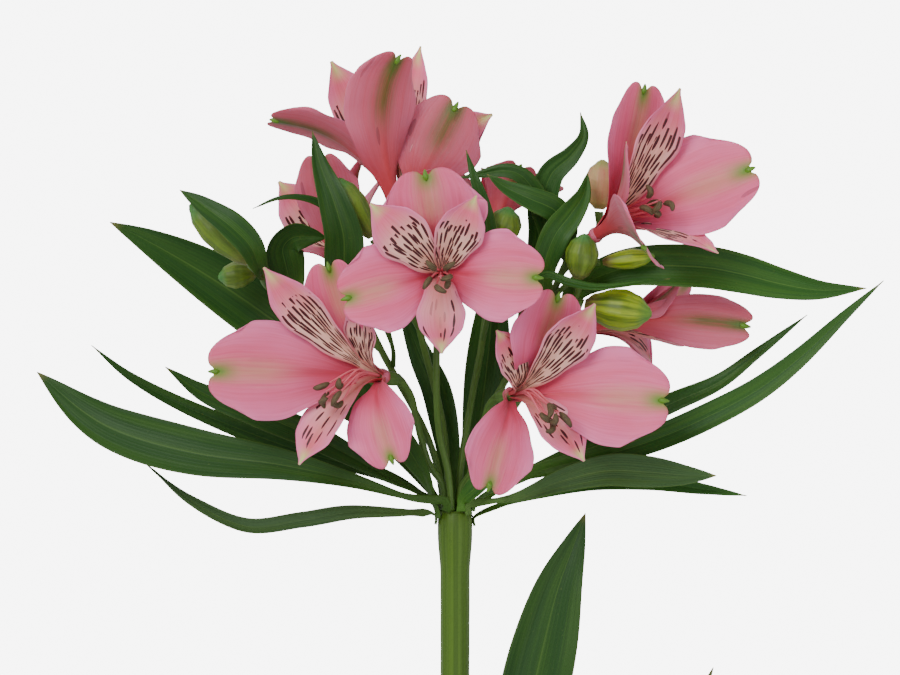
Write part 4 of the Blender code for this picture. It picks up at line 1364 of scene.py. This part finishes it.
def add_tepal(
    form, base, axis, seed, slots, tip, width, inner=False, roll=0, face=None, reach=15, lift=0,
    bend=(0, 0, 0),
):
    """A tepal from the bloom's base to its tip, which leaves along the axis for reach millimetres and bends
    over, drawn aside by bend."""
    looks = bpy.context.scene.alstroemeria_looks
    tip = Vector(tip)
    away = tip - base
    away = (away - axis * away.dot(axis)).normalized()
    foot = base + away * (1.25 if inner else 1.95) + axis * 0.8
    places = even(looks.tepal_rows)
    line = arc(foot, foot + axis * reach + away * lift + Vector(bend), tip, places)
    hinge = away.cross(axis)
    faces = []
    for t, way in zip(places, tangents(line)):
        plain = Quaternion(way, math.radians(roll) * smooth(t / 0.6)) @ hinge.cross(way)
        faces.append(plain.lerp(Vector(face).normalized(), smooth(t / 0.6)) if face else plain)
    outline, rounding, least = (INNER_OUTLINE, 0.03, 0.14) if inner else (
        OUTER_OUTLINE, 0.07, TIP_HALF_WIDTH
    )
    halves = [max(width / 2 * eased(outline, t, rounding), least) for t in places]
    spread = 0.2 if inner else 0.12

    def rise(t, across, half):
        up = curved(t, across, half, 0.8, spread, 0.55) + ripple(t, across, seed, looks.tepal_ripple)
        groove = (0.5 if inner else 0.32) * bell(across * half, 0.9) * smooth((t - 0.12) / 0.2)
        veins = 0.035 * math.cos(across * 30 + seed)
        wave = t * 15 + seed * 2 + (2 if across > 0 else 0)
        edge = 0.0 if inner else 0.22 * abs(across) ** 6 * math.sin(wave) * smooth((t - 0.3) * 3)
        return up - groove * min(1, half / 3) + veins * min(1, half / 5) + edge

    def lag(t, across, half):
        if inner:
            return 0.2 * t**3 * half * across * across
        notch = looks.notch * bell(across * half, 1.5) - 0.9 * bell(across * half, 0.5)
        lobes = -1.1 * bell(abs(across) - 0.45, 0.3)
        corner = 0.42 * half * across**6 * t**6
        return 0.34 * t**3 * half * across * across + corner + t**14 * (notch + lobes)

    columns = 12 if inner else looks.tepal_columns
    form.blade(line, faces, halves, rise, seed, looks.tepal_thickness, columns, slots, lag)
    if not inner:
        way, up = tangents(line)[-1], faces[-1]
        point = spline(
            [line[-1] - way * 2.8 - up * 0.5, line[-1] - way * 1.2, line[-1] + way * 0.5], even(10)
        )

        def radius(t, angle):
            return mix(1.0, 0.2, t * t) * (0.55 + 0.45 * smooth(t * 3))

        form.tube(point, radius, seed, 4, 10)


def bloom_piece(number, name, facts):
    """A bloom's six tepals and the ring that they stand on."""
    base, axis = Vector(facts["base"]), Vector(facts["axis"]).normalized()
    form = Form()
    for k, tepal in enumerate(facts["tepals"]):
        front = 0 if k < 3 else 2 if k < 5 else 3
        add_tepal(form, base, axis, number * 1.3 + k * 0.71, (front, 1), **tepal)

    def radius(t, angle):
        return between(SEAT_RADII, t) + 0.08 * math.cos(angle * 6)

    seat = spline([base + axis * s for s in (0, 1.2, 2.4)], even(8))
    form.tube(seat, radius, number, 1, 24)
    skins = [tepal_outer(), tepal_back(), tepal_marked(), tepal_lower(), green_point()]
    form.piece(f"bloom_{name}", skins, f"tepals_{name}", "tepal")


def add_stigma(form, end, way, right, front, number):
    """The three short lobes that the style parts in."""
    for lobe in range(3):
        out = (right * math.cos(lobe * 2.1) + front * math.sin(lobe * 2.1)) * 0.55
        line = spline([end, end + way * 0.7 + out * 0.4, end + way * 1.1 + out], even(6))
        form.tube(line, lambda t, angle: 0.24 * (1 - 0.5 * t), number + lobe, 0, 8)


def add_anther(form, end, way, side, seed):
    """A plump body with a groove along each side, which bends over towards side."""

    def radius(t, angle):
        return 1.0 * math.sin(math.pi * (0.04 + 0.92 * t)) ** 0.5 * (1 - 0.22 * bell(math.cos(angle), 0.22))

    points = [end, end + way * 1.9 + side * 0.3, end + way * 3.2 + side * 1.5, end + way * 3 + side * 3.4]
    form.tube(spline(points, even(22)), radius, seed, 1, 16)


def stamens_piece(number, name, facts):
    """Six stamens, and a style whose end parts in three."""
    base, axis, droop = Vector(facts["base"]), Vector(facts["axis"]).normalized(), Vector(facts["droop"])
    opening = facts.get("opening", 1)
    right = axis.orthogonal().normalized()
    front = axis.cross(right)
    form = Form()
    column = [base + axis * (2.85 + 7.65 * k / 11) for k in range(12)]
    form.tube(column, lambda t, angle: 0.5 + 0.12 * t, number, 0, 12)
    for k, long in enumerate(THREAD_LENGTHS):
        angle = math.radians(60 * k + 20)
        spread = (right * math.cos(angle) + front * math.sin(angle)) * (0 if k == STYLE else opening)
        end = base + axis * long + droop * 1.15 + spread * 2.9
        bend = base + axis * 15 + droop * 0.2 + spread * 1.5
        line = spline([base + axis * 9 + spread * 0.2, bend, end], even(20))
        way = (line[-1] - line[-2]).normalized()
        form.tube(line, lambda t, angle: mix(0.36, 0.26, t), number + k, 0, 10)
        if k == STYLE:
            add_stigma(form, end, way, right, front, number)
        else:
            turn = ANTHER_TURNS[k] + number
            add_anther(form, end, way, right * math.cos(turn) + front * math.sin(turn), number + k * 0.3)
    form.piece(f"threads_{name}", [filament_skin(), anther_skin()], f"stamens_{name}", "anther")


def bud_piece(number, name, base, tip, width, skin, **_):
    """A closed bud: three outer tepals whose edges meet in seams, each with a keel."""
    base, tip = Vector(base), Vector(tip)
    line = [base.lerp(tip, 0.5 - 0.5 * math.cos(math.pi * s)) for s in even(BUD_ROWS)]
    places = [(p - base).length / (tip - base).length for p in line]

    def radius(t, angle):
        s = places[round(t * (BUD_ROWS - 1))]
        third = (angle % (2 * math.pi / 3)) - math.pi / 3
        seam = 0.07 * bell(abs(third) - math.pi / 3, 0.1) * smooth(s * 5)
        keel = 0.05 * bell(third, 0.16) * smooth(s * 3)
        ribs = 0.014 * math.cos(angle * 18) * smooth(s * 4) * smooth((1 - s) * 4)
        return width / 2 * between(BUD_OUTLINE, s) * (1 - seam + keel + ribs)

    form = Form()
    form.tube(line, radius, number, 0, BUD_SIDES)
    way = tip - base
    form.places = [
        (u, (p - base).dot(way) / way.length_squared) for (u, _), p in zip(form.places, form.points)
    ]
    form.piece(f"closed_{name}", [skin()], name, "bud")


def pale_surface(looks):
    """The surface that the stem lies on: an even glow to the camera, and pale and matt to the light."""
    mesh = bpy.data.meshes.new("surface")
    height = min(CAD_BOX[0][2], 0.0) - SURFACE_DROP
    corners = [
        (x * SURFACE_REACH, y * SURFACE_REACH, height) for x, y in ((-1, -1), (1, -1), (1, 1), (-1, 1))
    ]
    mesh.from_pydata(corners, [], [(0, 1, 2, 3)])
    floor = bpy.data.objects.new("surface", mesh)
    bpy.context.scene.collection.objects.link(floor)
    pale = bpy.data.materials.new("surface")
    pale.use_nodes = True
    tree = pale.node_tree
    shader = tree.nodes["Principled BSDF"]
    shader.inputs["Base Color"].default_value = (0.82, 0.82, 0.82, 1)
    shader.inputs["Roughness"].default_value = 0.9
    seen = add(tree, "ShaderNodeLightPath").outputs["Is Camera Ray"]
    glow = add(tree, "ShaderNodeEmission", Color=(*looks.background, 1), Strength=1.0)
    either = tree.nodes.new("ShaderNodeMixShader")
    tree.links.new(seen, either.inputs[0])
    tree.links.new(shader.outputs[0], either.inputs[1])
    tree.links.new(glow.outputs[0], either.inputs[2])
    tree.links.new(either.outputs[0], tree.nodes["Material Output"].inputs["Surface"])
    mesh.materials.append(pale)


def lights(looks):
    """An even light from all round, a main light, and a weaker one from the other side."""
    world = bpy.data.worlds.new("soft light")
    world.use_nodes = True
    world.node_tree.nodes["Background"].inputs["Color"].default_value = (0.95, 0.97, 1, 1)
    world.node_tree.nodes["Background"].inputs["Strength"].default_value = looks.sky
    bpy.context.scene.world = world

    middle = Vector(((CAD_BOX[0][0] + CAD_BOX[1][0]) / 2, 0.12, 0.05))
    for name, place, size, power in (
        ("key", Vector((-0.7, 0.9, 1.5)), 0.9, looks.key),
        ("fill", Vector((0.9, -0.3, 1.4)), 1.2, looks.fill),
    ):
        light = bpy.data.lights.new(name, "AREA")
        light.size = size
        light.energy = power
        made = bpy.data.objects.new(name, light)
        made.location = place
        made.rotation_euler = (middle - place).to_track_quat("-Z", "Y").to_euler()
        bpy.context.scene.collection.objects.link(made)


def camera_above(looks):
    """The camera, which looks straight down."""
    camera = bpy.data.cameras.new("camera")
    camera.type = "PERSP"
    camera.sensor_width = 36
    camera.lens = looks.lens
    camera.clip_end = 20
    made = bpy.data.objects.new("camera", camera)
    made.location = looks.camera
    bpy.context.scene.collection.objects.link(made)
    bpy.context.scene.camera = made


def stage():
    looks = bpy.context.scene.alstroemeria_stage
    pale_surface(looks)
    lights(looks)
    camera_above(looks)


class AlstroemeriaLooks(bpy.types.PropertyGroup):
    leaf_rows: IntProperty(
        name="Leaf rows", description="Rows of faces along a leaf", default=72, min=16, max=200
    )
    leaf_columns: IntProperty(
        name="Leaf columns", description="Columns of faces across a leaf", default=18, min=4, max=60
    )
    leaf_ripple: FloatProperty(
        name="Leaf unevenness",
        description="How far a leaf's edges stray, in millimetres",
        default=0.7,
        min=0,
        max=3,
    )
    tepal_rows: IntProperty(
        name="Tepal rows", description="Rows of faces along a tepal", default=64, min=16, max=200
    )
    tepal_columns: IntProperty(
        name="Tepal columns",
        description="Columns of faces across an outer tepal",
        default=30,
        min=6,
        max=80,
    )
    tepal_ripple: FloatProperty(
        name="Tepal unevenness",
        description="How far a tepal's edges stray, in millimetres",
        default=0.9,
        min=0,
        max=3,
    )
    tepal_thickness: FloatProperty(
        name="Tepal thickness",
        description="Thickness in the middle of a tepal, in millimetres",
        default=0.42,
        min=0.1,
        max=0.65,
    )
    notch: FloatProperty(
        name="Notch",
        description="Depth of the notch at an outer tepal's end, in millimetres",
        default=2.2,
        min=0,
        max=4,
    )
    stem_rows: IntProperty(
        name="Stem rows", description="Rows of faces along the stem", default=300, min=20, max=600
    )
    stem_sides: IntProperty(
        name="Stem sides", description="Faces round the stem", default=64, min=12, max=120
    )


class AlstroemeriaStage(bpy.types.PropertyGroup):
    background: FloatVectorProperty(
        name="Background",
        description="Colour of the surface as the camera sees it",
        subtype="COLOR",
        default=(7.3, 7.3, 7.3),
        min=0,
        max=20,
    )
    sky: FloatProperty(
        name="Sky", description="Strength of the even light from all round", default=0.6, min=0, max=5
    )
    key: FloatProperty(
        name="Key light", description="Power of the main light", default=24, min=0, max=500, unit="POWER"
    )
    fill: FloatProperty(
        name="Fill light",
        description="Power of the light from the other side",
        default=8,
        min=0,
        max=500,
        unit="POWER",
    )
    lens: FloatProperty(
        name="Lens", description="Focal length of the camera", default=400, min=20, max=800, unit="CAMERA"
    )
    camera: FloatVectorProperty(
        name="Camera place",
        description="Where the camera stands above the stem",
        subtype="TRANSLATION",
        unit="LENGTH",
        default=(-0.00325, 0.127235, 3.058),
    )


class BuildStem(bpy.types.Operator):
    """Builds the stem up to the whorl of leaves"""

    bl_idname = "alstroemeria.stem"
    bl_label = "Stem"

    def execute(self, context):
        stem_piece()
        return {"FINISHED"}


class BuildLeaves(bpy.types.Operator):
    """Builds the leaves of the whorl and those lower on the stem"""

    bl_idname = "alstroemeria.leaves"
    bl_label = "Leaves"

    def execute(self, context):
        for number, (name, facts) in enumerate(WHORL_LEAVES.items()):
            whorl_leaf_piece(number * 0.83, name, **facts)
        for number, (name, facts) in enumerate(STEM_LEAVES.items()):
            stem_leaf_piece(20 + number * 0.83, name, **facts)
        return {"FINISHED"}


class BuildSmallLeaves(bpy.types.Operator):
    """Builds the small leaves among the rays"""

    bl_idname = "alstroemeria.small_leaves"
    bl_label = "Small leaves"

    def execute(self, context):
        for number, (name, facts) in enumerate(BRACTS.items()):
            bract_piece(40 + number * 0.83, name, **facts)
        return {"FINISHED"}


class BuildRays(bpy.types.Operator):
    """Builds the rays with their ovaries and the buds' stalks"""

    bl_idname = "alstroemeria.rays"
    bl_label = "Rays"

    def execute(self, context):
        for number, (name, facts) in enumerate(BLOOMS.items()):
            ray_piece(60 + number * 0.83, name, facts)
        return {"FINISHED"}


class BuildBlooms(bpy.types.Operator):
    """Builds the tepals of every bloom"""

    bl_idname = "alstroemeria.blooms"
    bl_label = "Blooms"

    def execute(self, context):
        for number, (name, facts) in enumerate(BLOOMS.items()):
            bloom_piece(80 + number, name, facts)
        return {"FINISHED"}


class BuildStamens(bpy.types.Operator):
    """Builds the stamens and style of every open bloom"""

    bl_idname = "alstroemeria.stamens"
    bl_label = "Stamens"

    def execute(self, context):
        for number, (name, facts) in enumerate(BLOOMS.items()):
            if facts.get("open", True):
                stamens_piece(100 + number, name, facts)
        return {"FINISHED"}


class BuildBuds(bpy.types.Operator):
    """Builds the closed buds"""

    bl_idname = "alstroemeria.buds"
    bl_label = "Buds"

    def execute(self, context):
        skins = {"bud_right_large": bud_skin, "bud_right_pink": bud_pink_skin, "bud_right_thin": bud_skin}
        for number, (name, facts) in enumerate(BUDS.items()):
            bud_piece(120 + number, name, skin=skins.get(name, bud_green_skin), **facts)
        return {"FINISHED"}


class BuildStage(bpy.types.Operator):
    """Builds the surface, the lights and the camera"""

    bl_idname = "alstroemeria.stage"
    bl_label = "Stage"

    def execute(self, context):
        stage()
        return {"FINISHED"}


class AlstroemeriaPanel(bpy.types.Panel):
    """Lists the sizes and the steps"""

    bl_idname = "VIEW3D_PT_alstroemeria"
    bl_label = "Alstroemeria stem"
    bl_space_type = "VIEW_3D"
    bl_region_type = "UI"
    bl_category = "Alstroemeria"

    def draw(self, context):
        for settings in (context.scene.alstroemeria_looks, context.scene.alstroemeria_stage):
            for name in settings.__annotations__:
                self.layout.prop(settings, name)
        for step in STEPS:
            self.layout.operator(step.bl_idname)


STEPS = (
    BuildStage, BuildStem, BuildLeaves, BuildSmallLeaves, BuildRays, BuildBlooms, BuildStamens, BuildBuds
)
CLASSES = (AlstroemeriaLooks, AlstroemeriaStage, *STEPS, AlstroemeriaPanel)


def register():
    for kind in CLASSES:
        bpy.utils.register_class(kind)
    bpy.types.Scene.alstroemeria_looks = PointerProperty(type=AlstroemeriaLooks)
    bpy.types.Scene.alstroemeria_stage = PointerProperty(type=AlstroemeriaStage)


def unregister():
    del bpy.types.Scene.alstroemeria_stage
    del bpy.types.Scene.alstroemeria_looks
    for kind in reversed(CLASSES):
        bpy.utils.unregister_class(kind)


def main():
    register()
    for step in STEPS:
        category, name = step.bl_idname.split(".")
        getattr(getattr(bpy.ops, category), name)()


if __name__ == "__main__":
    main()
